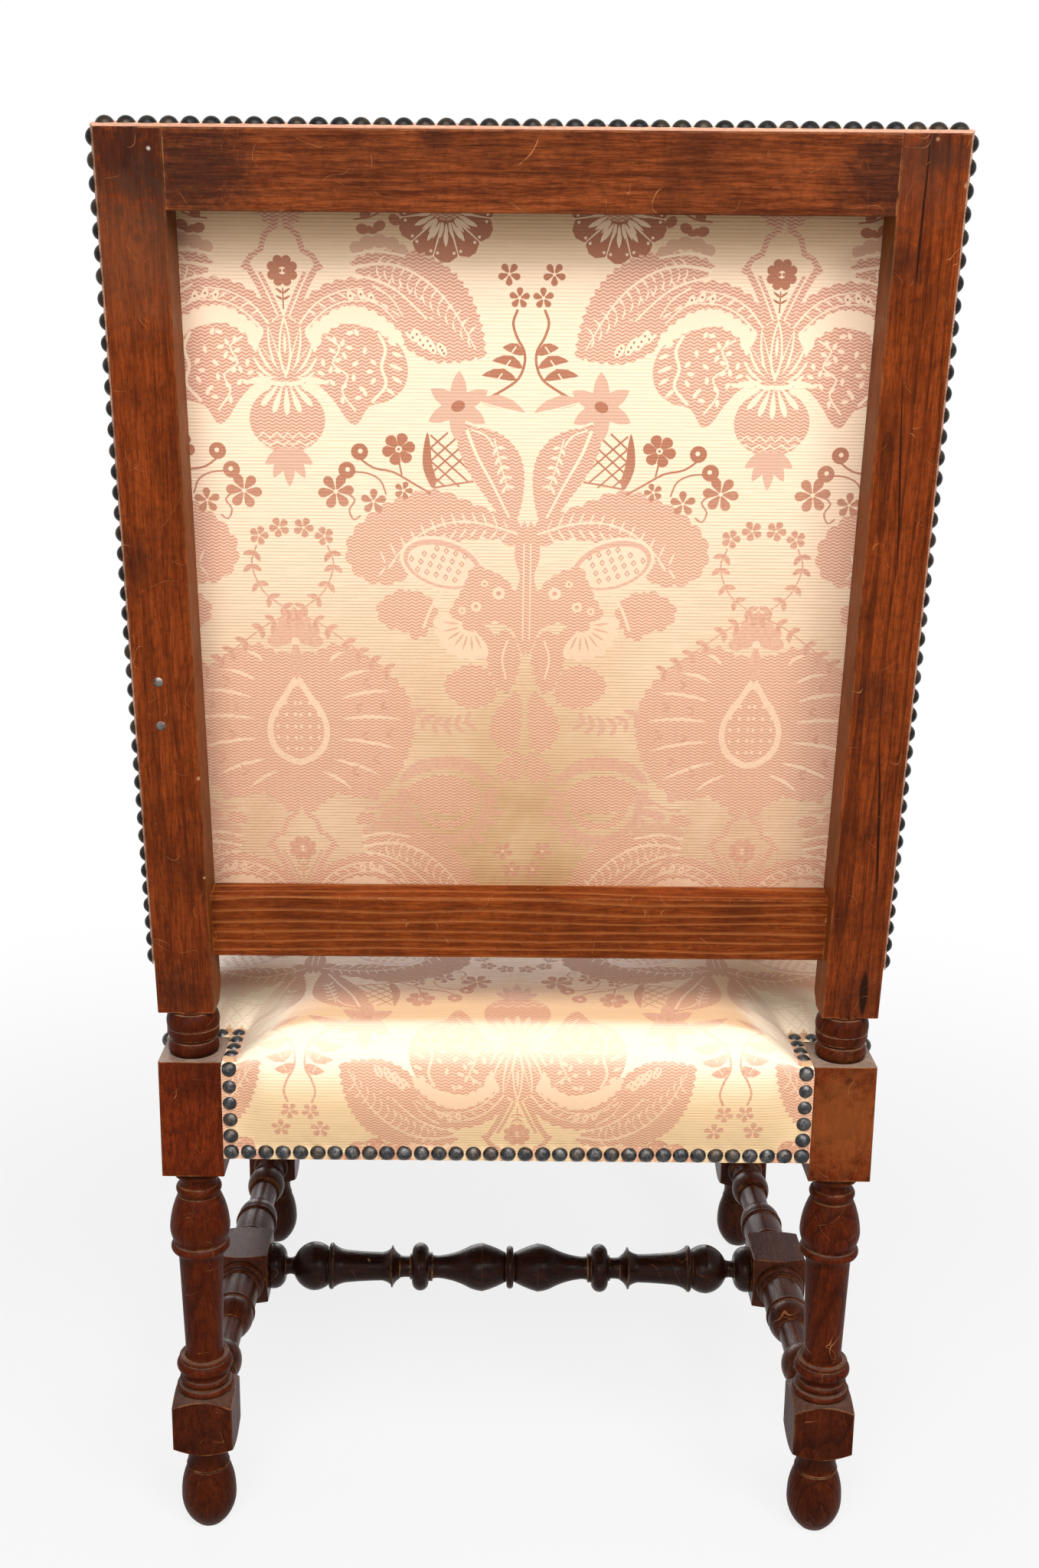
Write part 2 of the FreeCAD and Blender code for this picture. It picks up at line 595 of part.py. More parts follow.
def front_leg(side):
    """The same turning, ending at the top of the seat rails."""
    leg = squared(turned(leg_sections(RAIL_TOP)), 0, RAIL_TOP)
    leg.translate(V(LEG_X, FRONT_LEG_Y, 0))
    cuts = [
        mortise(side_rail_tenon(FRONT_LEG_Y, 1), -Y_AXIS),
        mortise(cross_rail_tenon(FRONT_LEG_Y, 1), X_AXIS),
        round_mortise(V(LEG_X, FRONT_LEG_Y + HALF_STOCK, STRETCHER_AXIS_HEIGHT), -Y_AXIS, ROUND_TENON_LENGTH),
    ]
    return nailed(sided(leg.cut(cuts), side))


# Stretchers

def side_stretcher(side):
    """Turned from leg to leg, with a square block in the middle for the cross stretcher."""
    face = LEG_SPACING / 2 - HALF_STOCK
    turning_base = STRETCHER_BLOCK_HALF + STRETCHER_SHOULDER
    half = [
        (0, STRETCHER_BLOCK_HALF, HALF_STOCK, SQUARE_SHARES),
        (STRETCHER_BLOCK_HALF, STRETCHER_SHOULDER, HALF_STOCK, SHOULDER_DOWN_SHARES),
        (turning_base, face - turning_base, HALF_STOCK, SIDE_STRETCHER_SHARES),
        (face, ROUND_TENON_LENGTH, ROUND_TENON_DIAMETER / 2, TENON_SHARES),
    ]
    bar = squared(turned(both_ways(half)), -LEG_SPACING / 2, LEG_SPACING / 2)
    bar = placed(bar, FreeCAD.Placement(V(LEG_X, MID_Y, STRETCHER_AXIS_HEIGHT), LYING_ALONG_Y))
    socket = round_mortise(V(BLOCK_INNER_X, MID_Y, STRETCHER_AXIS_HEIGHT), X_AXIS, CROSS_TENON_LENGTH)
    return sided(bar.cut(socket), side)


def cross_stretcher():
    half = [
        (0, BLOCK_INNER_X, HALF_STOCK, CROSS_STRETCHER_SHARES),
        (BLOCK_INNER_X, CROSS_TENON_LENGTH, ROUND_TENON_DIAMETER / 2, TENON_SHARES),
    ]
    place = FreeCAD.Placement(V(0, MID_Y, STRETCHER_AXIS_HEIGHT), LYING_ALONG_X)
    return placed(turned(both_ways(half)), place)


# Rails of the back

def back_top_rail():
    low = V(-OPENING_HALF, -STILE_DEPTH, TOP_RAIL_BOTTOM)
    bar = softened(low, V(OPENING_HALF, 0, STILE_LENGTH), X_AXIS)
    tenon = top_rail_tenon()
    return nailed(placed(fused([bar, tenon, sided(tenon, -1)]), RAKED))


def back_lower_rail():
    low = V(-OPENING_HALF, -STILE_DEPTH, LOWER_RAIL_BOTTOM)
    bar = softened(low, V(OPENING_HALF, -LOWER_RAIL_SETBACK, LOWER_RAIL_TOP), X_AXIS)
    tenon = lower_rail_tenon()
    return nailed(placed(fused([bar, tenon, sided(tenon, -1)]), RAKED))


# Interlaced webbing, drawn on a frame whose face is at height 0

def strap(ends, lane, crossings, levels, along_x):
    """A strap that lies on the frame at its ends and passes over or under each strap that it crosses."""
    reach = WEBBING_WIDTH / 2 + WEBBING_EASE
    line = [(ends[0], 0)]
    for crossing, level in zip(crossings, levels):
        line.append((crossing - reach, level * WEBBING_THICKNESS))
        line.append((crossing + reach, level * WEBBING_THICKNESS))
    line.append((ends[1], 0))
    edge = lane - WEBBING_WIDTH / 2
    top_line = [(place, height + WEBBING_THICKNESS) for place, height in reversed(line)]
    if along_x:
        return prism([V(place, edge, height) for place, height in line + top_line], V(0, WEBBING_WIDTH, 0))
    return prism([V(edge, place, height) for place, height in line + top_line], V(WEBBING_WIDTH, 0, 0))


def lanes(low, high, count):
    """The middle lines of evenly spaced straps between two edges."""
    step = (high - low) / count
    return [low + step / 2 + step * index for index in range(count)]


def webbing(x_ends, y_ends, x_lanes, y_lanes):
    """The straps along y, in the x lanes, and the straps along x, in the y lanes, woven over each other."""
    along_y = []
    for column, lane in enumerate(x_lanes):
        levels = [(column + row) % 2 for row in range(len(y_lanes))]
        along_y.append(strap(y_ends, lane, y_lanes, levels, False))
    along_x = []
    for row, lane in enumerate(y_lanes):
        levels = [1 - (column + row) % 2 for column in range(len(x_lanes))]
        along_x.append(strap(x_ends, lane, x_lanes, levels, True))
    return Part.makeCompound(along_y), Part.makeCompound(along_x)


def seat_webbing():
    side = HALF_WIDTH - WEBBING_EDGE
    notch = FLANGE_WIDTH + COVER_THICKNESS
    x_lanes = lanes(notch - BLOCK_INNER_X, BLOCK_INNER_X - notch, SEAT_WEBS_LONG)
    y_lanes = lanes(FRONT_FACE + RAIL_THICKNESS, -HALF_STOCK - notch, SEAT_WEBS_CROSS)
    y_ends = (FRONT_FACE + WEBBING_EDGE, REAR_FACE - WEBBING_EDGE)
    on_rails = FreeCAD.Placement(V(0, 0, RAIL_TOP), FreeCAD.Rotation())
    return [placed(group, on_rails) for group in webbing((-side, side), y_ends, x_lanes, y_lanes)]


PANEL_HALF = OPENING_HALF + BACK_PANEL_LAP
PANEL_BOTTOM = LOWER_RAIL_TOP - BACK_PANEL_LAP
PANEL_TOP = TOP_RAIL_BOTTOM + BACK_PANEL_LAP


def back_webbing():
    x_lanes = lanes(-OPENING_HALF, OPENING_HALF, BACK_WEBS_UPRIGHT)
    y_lanes = lanes(LOWER_RAIL_TOP, TOP_RAIL_BOTTOM, BACK_WEBS_CROSS)
    x_ends = (-PANEL_HALF, PANEL_HALF)
    y_ends = (PANEL_BOTTOM, PANEL_TOP)
    on_panel = BACK_FRONT.multiply(FreeCAD.Placement(V(0, 0, BACK_PANEL_THICKNESS), FreeCAD.Rotation()))
    return [placed(group, on_panel) for group in webbing(x_ends, y_ends, x_lanes, y_lanes)]


# Pads, drawn on a frame whose face is horizontal

def rounded_rectangle(low, high, radius):
    """A level rectangle with rounded corners, between two corners of the same height."""
    z = low.z
    near = radius * (1 - math.sqrt(1 / 2))
    corners = (
        (V(low.x, low.y + radius, z), V(low.x + near, low.y + near, z), V(low.x + radius, low.y, z)),
        (V(high.x - radius, low.y, z), V(high.x - near, low.y + near, z), V(high.x, low.y + radius, z)),
        (V(high.x, high.y - radius, z), V(high.x - near, high.y - near, z), V(high.x - radius, high.y, z)),
        (V(low.x + radius, high.y, z), V(low.x + near, high.y - near, z), V(low.x, high.y - radius, z)),
    )
    edges = []
    for index, (start, middle, end) in enumerate(corners):
        edges.append(Part.Arc(start, middle, end).toShape())
        edges.append(Part.LineSegment(end, corners[(index + 1) % len(corners)][0]).toShape())
    return Part.Wire(edges)


def pad(low, high, rise, skin):
    """A crowned pad over a rectangle of the frame, grown by the thickness of a skin all over."""
    wires = []
    for inset_share, rise_share in PAD_SHARES:
        inset = PAD_EDGE_REACH * inset_share
        height = low.z + skin + rise * rise_share
        near = V(low.x - skin + inset, low.y - skin + inset, height)
        far = V(high.x + skin - inset, high.y + skin - inset, height)
        wires.append(rounded_rectangle(near, far, ARRIS_RADIUS + skin + PAD_CORNER_SHARE * inset))
    return Part.makeLoft(wires, True, True)


def block_over(low, high, bottom, top, skin):
    """An upright block with rounded corners, grown sideways by the thickness of a skin."""
    near = V(low.x - skin, low.y - skin, bottom)
    far = V(high.x + skin, high.y + skin, bottom)
    return Part.Face(rounded_rectangle(near, far, ARRIS_RADIUS + skin)).extrude(V(0, 0, top - bottom))


SEAT_LOW = V(-HALF_WIDTH, FRONT_FACE, RAIL_TOP)
SEAT_HIGH = V(HALF_WIDTH, REAR_FACE, RAIL_TOP)


def leg_flare(skin):
    """What is cut from the left rear corner of the seat pad, so that its wall leans back from the leg."""
    base = RAIL_TOP + skin
    out = FLANGE_WIDTH + COVER_THICKNESS - skin
    far = HALF_WIDTH + COVER_THICKNESS + OVERRUN
    rear = REAR_FACE + COVER_THICKNESS + OVERRUN
    wires = []
    for lean, height in ((0, base), (NOTCH_FLARE, base + SEAT_PAD_RISE)):
        low = V(BLOCK_INNER_X - out - lean, -HALF_STOCK - out - lean, height)
        wires.append(rounded_rectangle(low, V(far, rear, height), FLANGE_WIDTH / 2))
    return Part.makeLoft(wires, True, True)


def seat_form(skin, bottom):
    """The whole seat pad with the sides below it; skin 0 is the space inside the cover."""
    body = block_over(SEAT_LOW, SEAT_HIGH, bottom, RAIL_TOP + skin, skin)
    crown = pad(SEAT_LOW, SEAT_HIGH, SEAT_PAD_RISE, skin)
    flare = leg_flare(skin)
    return body.fuse(crown.cut([flare, sided(flare, -1)]))


def seat_cover():
    """Damask over the pad and down to the lower edge of the rails, notched round the rear legs."""
    shell = seat_form(COVER_THICKNESS, RAIL_BOTTOM).cut(seat_form(0, RAIL_BOTTOM - OVERRUN))
    low = V(BLOCK_INNER_X - CLOTH_CLEARANCE, -HALF_STOCK - CLOTH_CLEARANCE, RAIL_BOTTOM - OVERRUN)
    notch = box(low, V(OUTER_WIDTH, OUTER_WIDTH, COLLAR_TOP))
    return nailed(shell.cut([notch, sided(notch, -1)]).removeSplitter())


WEB_LAYERS = 2 * WEBBING_THICKNESS


def slab(low, high, bottom, top):
    """The layer between two heights over a rectangle."""
    return box(V(low.x, low.y, bottom), V(high.x, high.y, top))


def seat_fillings():
    """The hessian over the webbing and the stuffing on it, which fill the cover."""
    inside = seat_form(0, RAIL_BOTTOM)
    cloth = RAIL_TOP + WEB_LAYERS
    hessian = inside.common(slab(SEAT_LOW, SEAT_HIGH, cloth, cloth + HESSIAN_THICKNESS))
    stuffing = inside.common(slab(SEAT_LOW, SEAT_HIGH, cloth + HESSIAN_THICKNESS, COLLAR_TOP + SEAT_PAD_RISE))
    return hessian, stuffing


BACK_LOW = V(-HALF_WIDTH, LOWER_RAIL_BOTTOM + CLOTH_CLEARANCE + FLANGE_WIDTH + COVER_THICKNESS, 0)
BACK_HIGH = V(HALF_WIDTH, STILE_LENGTH, 0)


def back_cover():
    """Damask over the front pad, wrapped on to the sides and top of the frame and nailed along its foot."""
    edge = BACK_CLOTH_EDGE - STILE_DEPTH
    foot = V(-HALF_WIDTH, LOWER_RAIL_BOTTOM + CLOTH_CLEARANCE + COVER_THICKNESS, 0)
    below = V(-HALF_WIDTH, LOWER_RAIL_BOTTOM - OUTER_WIDTH, 0)
    outer = block_over(foot, BACK_HIGH, edge, COVER_THICKNESS, COVER_THICKNESS)
    outer = outer.fuse(pad(BACK_LOW, BACK_HIGH, BACK_PAD_RISE, COVER_THICKNESS))
    inner = block_over(below, BACK_HIGH, edge - OVERRUN, 0, 0)
    inner = inner.fuse(pad(BACK_LOW, BACK_HIGH, BACK_PAD_RISE, 0))
    shell = outer.cut(inner)
    return nailed(placed(shell.removeSplitter(), BACK_FRONT))


def back_fillings():
    """The panel seen from behind, the hessian over the webbing and the stuffing on it."""
    panel = slab(V(-PANEL_HALF, PANEL_BOTTOM, 0), V(PANEL_HALF, PANEL_TOP, 0), 0, BACK_PANEL_THICKNESS)
    cloth = BACK_PANEL_THICKNESS + WEB_LAYERS
    inside = pad(BACK_LOW, BACK_HIGH, BACK_PAD_RISE, 0)
    hessian = inside.common(slab(BACK_LOW, BACK_HIGH, cloth, cloth + HESSIAN_THICKNESS))
    stuffing = inside.common(slab(BACK_LOW, BACK_HIGH, cloth + HESSIAN_THICKNESS, OUTER_WIDTH))
    return [placed(shape, BACK_FRONT) for shape in (panel, hessian, stuffing)]


def stile_pins():
    pin = domed_pin(PIN_DIAMETER, PIN_HEAD_HEIGHT, PIN_SHANK_DIAMETER, PIN_SHANK_LENGTH)
    return Part.makeCompound(at_places(pin, pin_places()))


def chair():
    """Every piece of the chair under its name."""
    pieces = {}
    for name, side in SIDES:
        pieces["rear_leg_" + name] = rear_leg(side)
        pieces["front_leg_" + name] = front_leg(side)
        pieces["side_stretcher_" + name] = side_stretcher(side)
        pieces["seat_rail_" + name] = seat_side_rail(side)
        pieces["corner_block_rear_" + name] = corner_block(side, 0, -1)
        pieces["corner_block_front_" + name] = corner_block(side, FRONT_LEG_Y, 1)
    pieces["cross_stretcher"] = cross_stretcher()
    pieces["seat_rail_rear"] = seat_cross_rail(0, -1)
    pieces["seat_rail_front"] = seat_cross_rail(FRONT_LEG_Y, 1)
    pieces["back_top_rail"] = back_top_rail()
    pieces["back_lower_rail"] = back_lower_rail()
    pieces["stile_pins"] = stile_pins()
    pieces["seat_webbing_long"], pieces["seat_webbing_cross"] = seat_webbing()
    pieces["seat_hessian"], pieces["seat_stuffing"] = seat_fillings()
    pieces["seat_cover"] = seat_cover()
    pieces["back_webbing_upright"], pieces["back_webbing_cross"] = back_webbing()
    pieces["back_panel_cloth"], pieces["back_hessian"], pieces["back_stuffing"] = back_fillings()
    pieces["back_cover"] = back_cover()
    pieces["seat_nails_rear"] = nails_at(seat_rear_places())
    pieces["seat_nails_front"] = nails_at(seat_front_places())
    pieces["back_nails_top"] = nails_at(back_top_places())
    pieces["back_nails_bottom"] = nails_at(back_bottom_places())
    for name, side in SIDES:
        seat_places = seat_left_places()
        back_places = back_left_places()
        if side < 0:
            seat_places = mirrored_places(seat_places)[len(seat_places):]
            back_places = mirrored_places(back_places)[len(back_places):]
        pieces["seat_nails_" + name] = nails_at(seat_places)
        pieces["back_nails_" + name] = nails_at(back_places)
    return pieces


def main():
    pieces = chair()
    bounds = FreeCAD.BoundBox()
    for shape in pieces.values():
        bounds.add(shape.optimalBoundingBox(False, False))
    to_origin = V(-bounds.Center.x, -bounds.Center.y, -bounds.ZMin)
    os.makedirs("parts", exist_ok=True)
    for name, shape in pieces.items():
        moved = shape.copy()
        moved.translate(to_origin)
        moved.exportStep("parts/" + name + ".step")
        print(name, len(moved.Solids), "solids,", "valid" if moved.isValid() else "NOT VALID",
              round(moved.Volume), "mm3")
    print("size", round(bounds.XLength, 1), round(bounds.YLength, 1), round(bounds.ZLength, 1))
    print("moved by", round(to_origin.y, 2), round(to_origin.z, 3))


main()
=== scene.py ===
import math
import bpy
import numpy as np
from mathutils import Matrix, Vector, noise
from mathutils.geometry import delaunay_2d_cdt


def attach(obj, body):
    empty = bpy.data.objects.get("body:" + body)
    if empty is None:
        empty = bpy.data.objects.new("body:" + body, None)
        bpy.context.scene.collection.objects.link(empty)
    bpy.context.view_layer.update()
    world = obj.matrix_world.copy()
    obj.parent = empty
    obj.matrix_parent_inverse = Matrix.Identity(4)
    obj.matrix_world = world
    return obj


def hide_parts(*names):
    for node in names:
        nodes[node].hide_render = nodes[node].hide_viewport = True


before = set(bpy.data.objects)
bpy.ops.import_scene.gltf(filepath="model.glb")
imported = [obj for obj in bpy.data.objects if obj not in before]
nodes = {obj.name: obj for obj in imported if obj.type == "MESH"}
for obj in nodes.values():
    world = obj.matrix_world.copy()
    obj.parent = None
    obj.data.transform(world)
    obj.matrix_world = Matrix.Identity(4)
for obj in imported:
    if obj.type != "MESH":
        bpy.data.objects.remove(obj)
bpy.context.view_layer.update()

# Places of the CAD model, in metres
MM = 0.001
REAR_AXIS_Y = 0.19304        # axis of the rear legs
LEG_SPACING = 0.4688         # front to rear, between the axes of the legs
HALF_WIDTH = 0.275
HALF_STOCK = 0.02415         # half the width of a leg's block
FRONT_FACE_Y = REAR_AXIS_Y - LEG_SPACING - HALF_STOCK
REAR_FACE_Y = REAR_AXIS_Y + HALF_STOCK
FOOT_TOP, BLOCK_TOP, COLUMN_TOP = 0.0675, 0.1245, 0.3225
COLLAR_TOP = 0.4545
SEAT_TOP = 0.4177            # top of the nailed cloth beside the rear legs
SEAT_FOOT = 0.338            # lower edge of the seat cloth
BACK_RAKE = math.radians(8.81)
STILE_DEPTH = 0.038
STILE_LENGTH = 0.637
RAKED = Matrix.Translation((0, REAR_AXIS_Y + 0.0157, COLLAR_TOP)) @ Matrix.Rotation(-BACK_RAKE, 4, "X")

WHITE = (1, 1, 1, 1)


def lin(red, green, blue):
    """A colour given as it looks on a screen, 0 to 255."""
    values = []
    for value in (red, green, blue):
        share = value / 255
        values.append(share / 12.92 if share < 0.04045 else ((share + 0.055) / 1.055) ** 2.4)
    return (*values, 1.0)


class Value:
    """A socket of a node tree that can be reckoned with."""

    def __init__(self, graph, socket):
        self.graph, self.socket = graph, socket

    def __add__(self, other):
        return self.graph.math("ADD", self, other)

    def __sub__(self, other):
        return self.graph.math("SUBTRACT", self, other)

    def __rsub__(self, other):
        return self.graph.math("SUBTRACT", other, self)

    def __mul__(self, other):
        return self.graph.math("MULTIPLY", self, other)

    def __truediv__(self, other):
        return self.graph.math("DIVIDE", self, other)

    def __abs__(self):
        return self.graph.math("ABSOLUTE", self)

    def sine(self):
        return self.graph.math("SINE", self)

    def above(self, limit):
        return self.graph.math("GREATER_THAN", self, limit)

    def below(self, limit):
        return self.graph.math("LESS_THAN", self, limit)

    def ramp(self, low, high, start=0.0, end=1.0):
        """A smooth step, from start where the value is low to end where it is high."""
        inputs = {0: self, 1: low, 2: high, 3: start, 4: end}
        return self.graph.value("ShaderNodeMapRange", inputs, interpolation_type="SMOOTHSTEP")

    def xyz(self):
        return self.graph.values("ShaderNodeSeparateXYZ", {0: self})


class Graph:
    """Short calls that build the node tree of a material, or of another owner."""

    def __init__(self, name, owners=bpy.data.materials):
        self.owner = owners.new(name)
        self.owner.use_nodes = True
        self.tree = self.owner.node_tree
        self.tree.nodes.clear()

    def node(self, kind, inputs=None, **settings):
        node = self.tree.nodes.new(kind)
        for key, value in settings.items():
            setattr(node, key, value)
        for key, value in (inputs or {}).items():
            if isinstance(value, Value):
                self.tree.links.new(value.socket, node.inputs[key])
            else:
                node.inputs[key].default_value = value
        return node

    def values(self, kind, inputs=None, outputs=(0, 1, 2), **settings):
        node = self.node(kind, inputs, **settings)
        return [Value(self, node.outputs[key]) for key in outputs]

    def value(self, kind, inputs=None, output=0, **settings):
        return self.values(kind, inputs, (output,), **settings)[0]

    def math(self, operation, first, second=0.0, clamp=False):
        return self.value("ShaderNodeMath", {0: first, 1: second}, operation=operation, use_clamp=clamp)

    def vector(self, operation, first, second, output="Value"):
        return self.value("ShaderNodeVectorMath", {0: first, 1: second}, output, operation=operation)

    def mix(self, share, first, second, blend="MIX"):
        inputs = {0: share, 6: first, 7: second}
        return self.value("ShaderNodeMix", inputs, 2, data_type="RGBA", blend_type=blend)

    def noise(self, vector, scale, detail=4.0, distortion=0.0, roughness=0.5):
        inputs = {"Vector": vector, "Scale": scale, "Detail": detail, "Distortion": distortion,
                  "Roughness": roughness}
        return self.value("ShaderNodeTexNoise", inputs, "Fac")

    def scaled(self, vector, scale):
        return self.value("ShaderNodeMapping", {"Vector": vector, "Scale": scale})

    def place(self):
        return self.value("ShaderNodeTexCoord", output="Object")

    def object_space(self, scale=(1, 1, 1), rotation=(0, 0, 0), location=(0, 0, 0)):
        inputs = {"Vector": self.place(), "Location": location, "Rotation": rotation}
        return self.scaled(self.value("ShaderNodeMapping", inputs), scale)

    def flat(self):
        """The place on the cloth as it was before it was laid, in metres."""
        return self.value("ShaderNodeUVMap", uv_map="flat")

    def bump(self, height, distance, strength, **inputs):
        inputs.update({"Height": height, "Distance": distance, "Strength": strength})
        return self.value("ShaderNodeBump", inputs)

    def finish(self, **inputs):
        inputs = {key.replace("_", " "): value for key, value in inputs.items()}
        shader = self.value("ShaderNodeBsdfPrincipled", inputs)
        self.node("ShaderNodeOutputMaterial", {"Surface": shader})
        return self.owner


def put(obj, material):
    """The object's only material."""
    obj.data.materials.clear()
    obj.data.materials.append(material)


# Wood and metal

def drawn_out(along, share, across=1.0):
    """A scale that draws a texture out along a member."""
    return tuple(share if axis == along else across for axis in range(3))


def grain(graph, along, rake=0.0, offset=(0, 0, 0)):
    """Coordinates stretched along a member, and the same without the stretch."""
    turned = (rake, 0, 0)
    return (graph.object_space(drawn_out(along, 0.07), turned, offset),
            graph.object_space(rotation=turned, location=offset))


def wood(name, along, light, dark, deep, gloss=0.4, rake=0.0, offset=(0, 0, 0), rings=0.25, tones=(),
         spots=(), wear=0.6, grime_and_shade=0.85, shine=0.05, dust=0.0, painted_lit_sides=0.0, pith=(0, 0, 0), ring_tint=None,
         cracks=()):
    """Stained wood with fibres, growth rings round its pith, pores, blotches, scratches, cracks, worn edges,
    hollows darkened by grime and painted shade, and painted light on faces that point sideways. tones are
    bands of height and their tints, spots are places with a radius, a colour and a share, cracks are upright
    ones with a middle, a half width, a half length and a lean."""
    graph = Graph(name)
    stretched, plain = grain(graph, along, rake, offset)
    turned = (rake, 0, 0)

    # the stain in the fibres
    fibre = graph.noise(stretched, 950, 5, 0.2, 0.7)
    fine = graph.noise(stretched, 330, 5, 0.3, 0.65)
    broad = graph.noise(stretched, 55, 4, 0.8)
    blotch = graph.noise(plain, 16, 6, 0.5, 0.65)
    mottle = graph.noise(plain, 210, 5, 0.0, 0.75)
    ragged = graph.noise(plain, 120, 4, 0.3, 0.7)
    colour = graph.mix((fibre * 0.45 + fine * 0.42 + broad * 0.13).ramp(0.40, 0.60), dark, light)
    colour = graph.mix(mottle.ramp(0.46, 0.64, 0.0, 0.32), colour, deep)
    colour = graph.mix(blotch.ramp(0.44, 0.72, 0.0, 0.55), colour, deep)

    # growth rings and pores
    round_pith = graph.object_space(drawn_out(along, 0.16), turned, tuple(-value for value in pith))
    inputs = {"Vector": round_pith, "Scale": 46.0, "Distortion": 7.0, "Detail": 2.0, "Detail Scale": 0.5}
    wave = graph.value("ShaderNodeTexWave", inputs, "Fac", wave_type="RINGS", rings_direction="XYZ"[along],
                       wave_profile="SAW")
    colour = graph.mix(wave.ramp(0.62, 0.95) * wave.ramp(1.0, 0.97) * rings, colour, ring_tint or deep)
    pitted = graph.object_space(drawn_out(along, 0.12, 3.0), turned, offset)
    pores = graph.noise(pitted, 620, 2).ramp(0.58, 0.68)
    colour = graph.mix(pores * 0.5, colour, deep)

    # shades of the parts of a leg, and painted light on faces that point sideways
    place = graph.place()
    height = place.xyz()[2]
    normal = graph.value("ShaderNodeNewGeometry", output="Normal")
    sideways, _, upward = normal.xyz()
    for low, high, tint in tones:
        colour = graph.mix(height.above(low) * height.below(high), colour, tint, "MULTIPLY")
    # painted light: upright faces that point sideways, above the collar, are mixed towards a lit golden brown
    if painted_lit_sides:
        painted_lit_flank = abs(sideways).ramp(0.7, 0.9) * height.above(COLLAR_TOP)
        colour = graph.mix(painted_lit_flank * painted_lit_sides, colour, lin(150, 90, 40))

    # stains, chips, cracks and scratches
    for centre, radius, tint, share in spots:
        away = graph.vector("DISTANCE", place, centre) + (ragged - 0.5) * (radius * 1.7)
        colour = graph.mix(away.ramp(radius * 1.2, radius * 0.2, 0.0, share), colour, tint)
    for centre, half_width, half_length, lean in cracks:
        aside, _, up = graph.vector("SUBTRACT", place, centre, "Vector").xyz()
        sway = (graph.noise(stretched, 90, 3) - 0.5) * 0.006
        across = abs((aside + sway - up * lean) / half_width)
        down = up / half_length
        colour = graph.mix((across + down * down).ramp(1.1, 0.5, 0.0, 0.85), colour, lin(22, 10, 6))
    breaks = graph.noise(plain, 60, 3).ramp(0.52, 0.62)
    lines = []
    for turn, bend in (((0.5, 0.7, 0.6), 700), ((0.2, 1.1, -0.4), 900)):
        field = graph.noise(graph.object_space((1, 0.35, 1), turn, offset), 24, 1, 0.0, 0.3)
        lines.append(graph.math("SUBTRACT", 1.0, abs(field - 0.5) * bend, clamp=True) * breaks)
    scratches = graph.math("MAXIMUM", *lines)
    colour = graph.mix(scratches * 0.6, colour, lin(206, 140, 92))

    # rubbed edges, hollows darkened by grime and painted shade, dust on what faces up
    rounded = graph.value("ShaderNodeBevel", {"Radius": 0.0015}, samples=4)
    rubbed = graph.vector("DOT_PRODUCT", rounded, normal).ramp(0.996, 0.88)
    rubbed = rubbed * graph.noise(plain, 55, 5, 0.0, 0.75).ramp(0.40, 0.58)
    colour = graph.mix(rubbed * wear, colour, lin(206, 138, 84))
    # grime and painted shade: hollows and the joins between parts turn near black by ambient occlusion
    hollow_grime_and_shade = graph.value("ShaderNodeAmbientOcclusion", {"Distance": 0.007}, "AO", samples=6, only_local=True)
    colour = graph.mix(hollow_grime_and_shade.ramp(0.74, 0.36, 0.0, grime_and_shade), colour, lin(18, 9, 6))
    if dust:
        settled = upward.ramp(0.75, 0.95) * height.below(COLLAR_TOP) * height.ramp(0.36, 0.40, 0.3, 1.0)
        colour = graph.mix(settled * ragged.ramp(0.30, 0.62, 0.5, dust), colour, lin(158, 136, 120))

    relief = fine * 0.5 - pores * 0.6 - scratches * 0.8
    bumpy = graph.bump(graph.noise(stretched, 30, 2), 0.0012, 0.35, Normal=graph.bump(relief, 0.00018, 0.7))
    return graph.finish(Base_Color=colour, Roughness=blotch * 0.16 + gloss + pores * 0.15, Normal=bumpy,
                        Specular_IOR_Level=shine)


def raw_wood(name, along):
    """Bare pale wood of the hidden rails."""
    graph = Graph(name)
    stretched, plain = grain(graph, along)
    streak = graph.noise(stretched, 300, 5, 0.4)
    colour = graph.mix(streak.ramp(0.38, 0.62), lin(150, 112, 74), lin(192, 156, 112))
    colour = graph.mix(graph.noise(plain, 12, 4).ramp(0.5, 0.75, 0.0, 0.5), colour, lin(104, 74, 48))
    return graph.finish(Base_Color=colour, Roughness=0.75, Normal=graph.bump(streak, 0.0003, 0.6))


def dark_metal(name, base, patina, roughness):
    """Aged metal of the nail heads."""
    graph = Graph(name)
    plain = graph.object_space()
    spots = graph.noise(plain, 240, 4, 0.2, 0.6)
    per_nail = graph.noise(plain, 60, 1)
    colour = graph.mix(spots.ramp(0.42, 0.68), base, patina)
    colour = graph.mix(per_nail.ramp(0.45, 0.7, 0.0, 0.5), colour, lin(74, 58, 40))
    dents = graph.bump(graph.noise(plain, 420, 3), 0.0004, 0.5)
    return graph.finish(Base_Color=colour, Metallic=0.85, Roughness=spots * 0.25 + roughness, Normal=dents)


def on_rear_face(*rows):
    """Spots or cracks given by their place on the rear face of the back: across and up it, in metres."""
    return [(tuple(RAKED @ Vector((x, 0, z))), *rest) for x, z, *rest in rows]


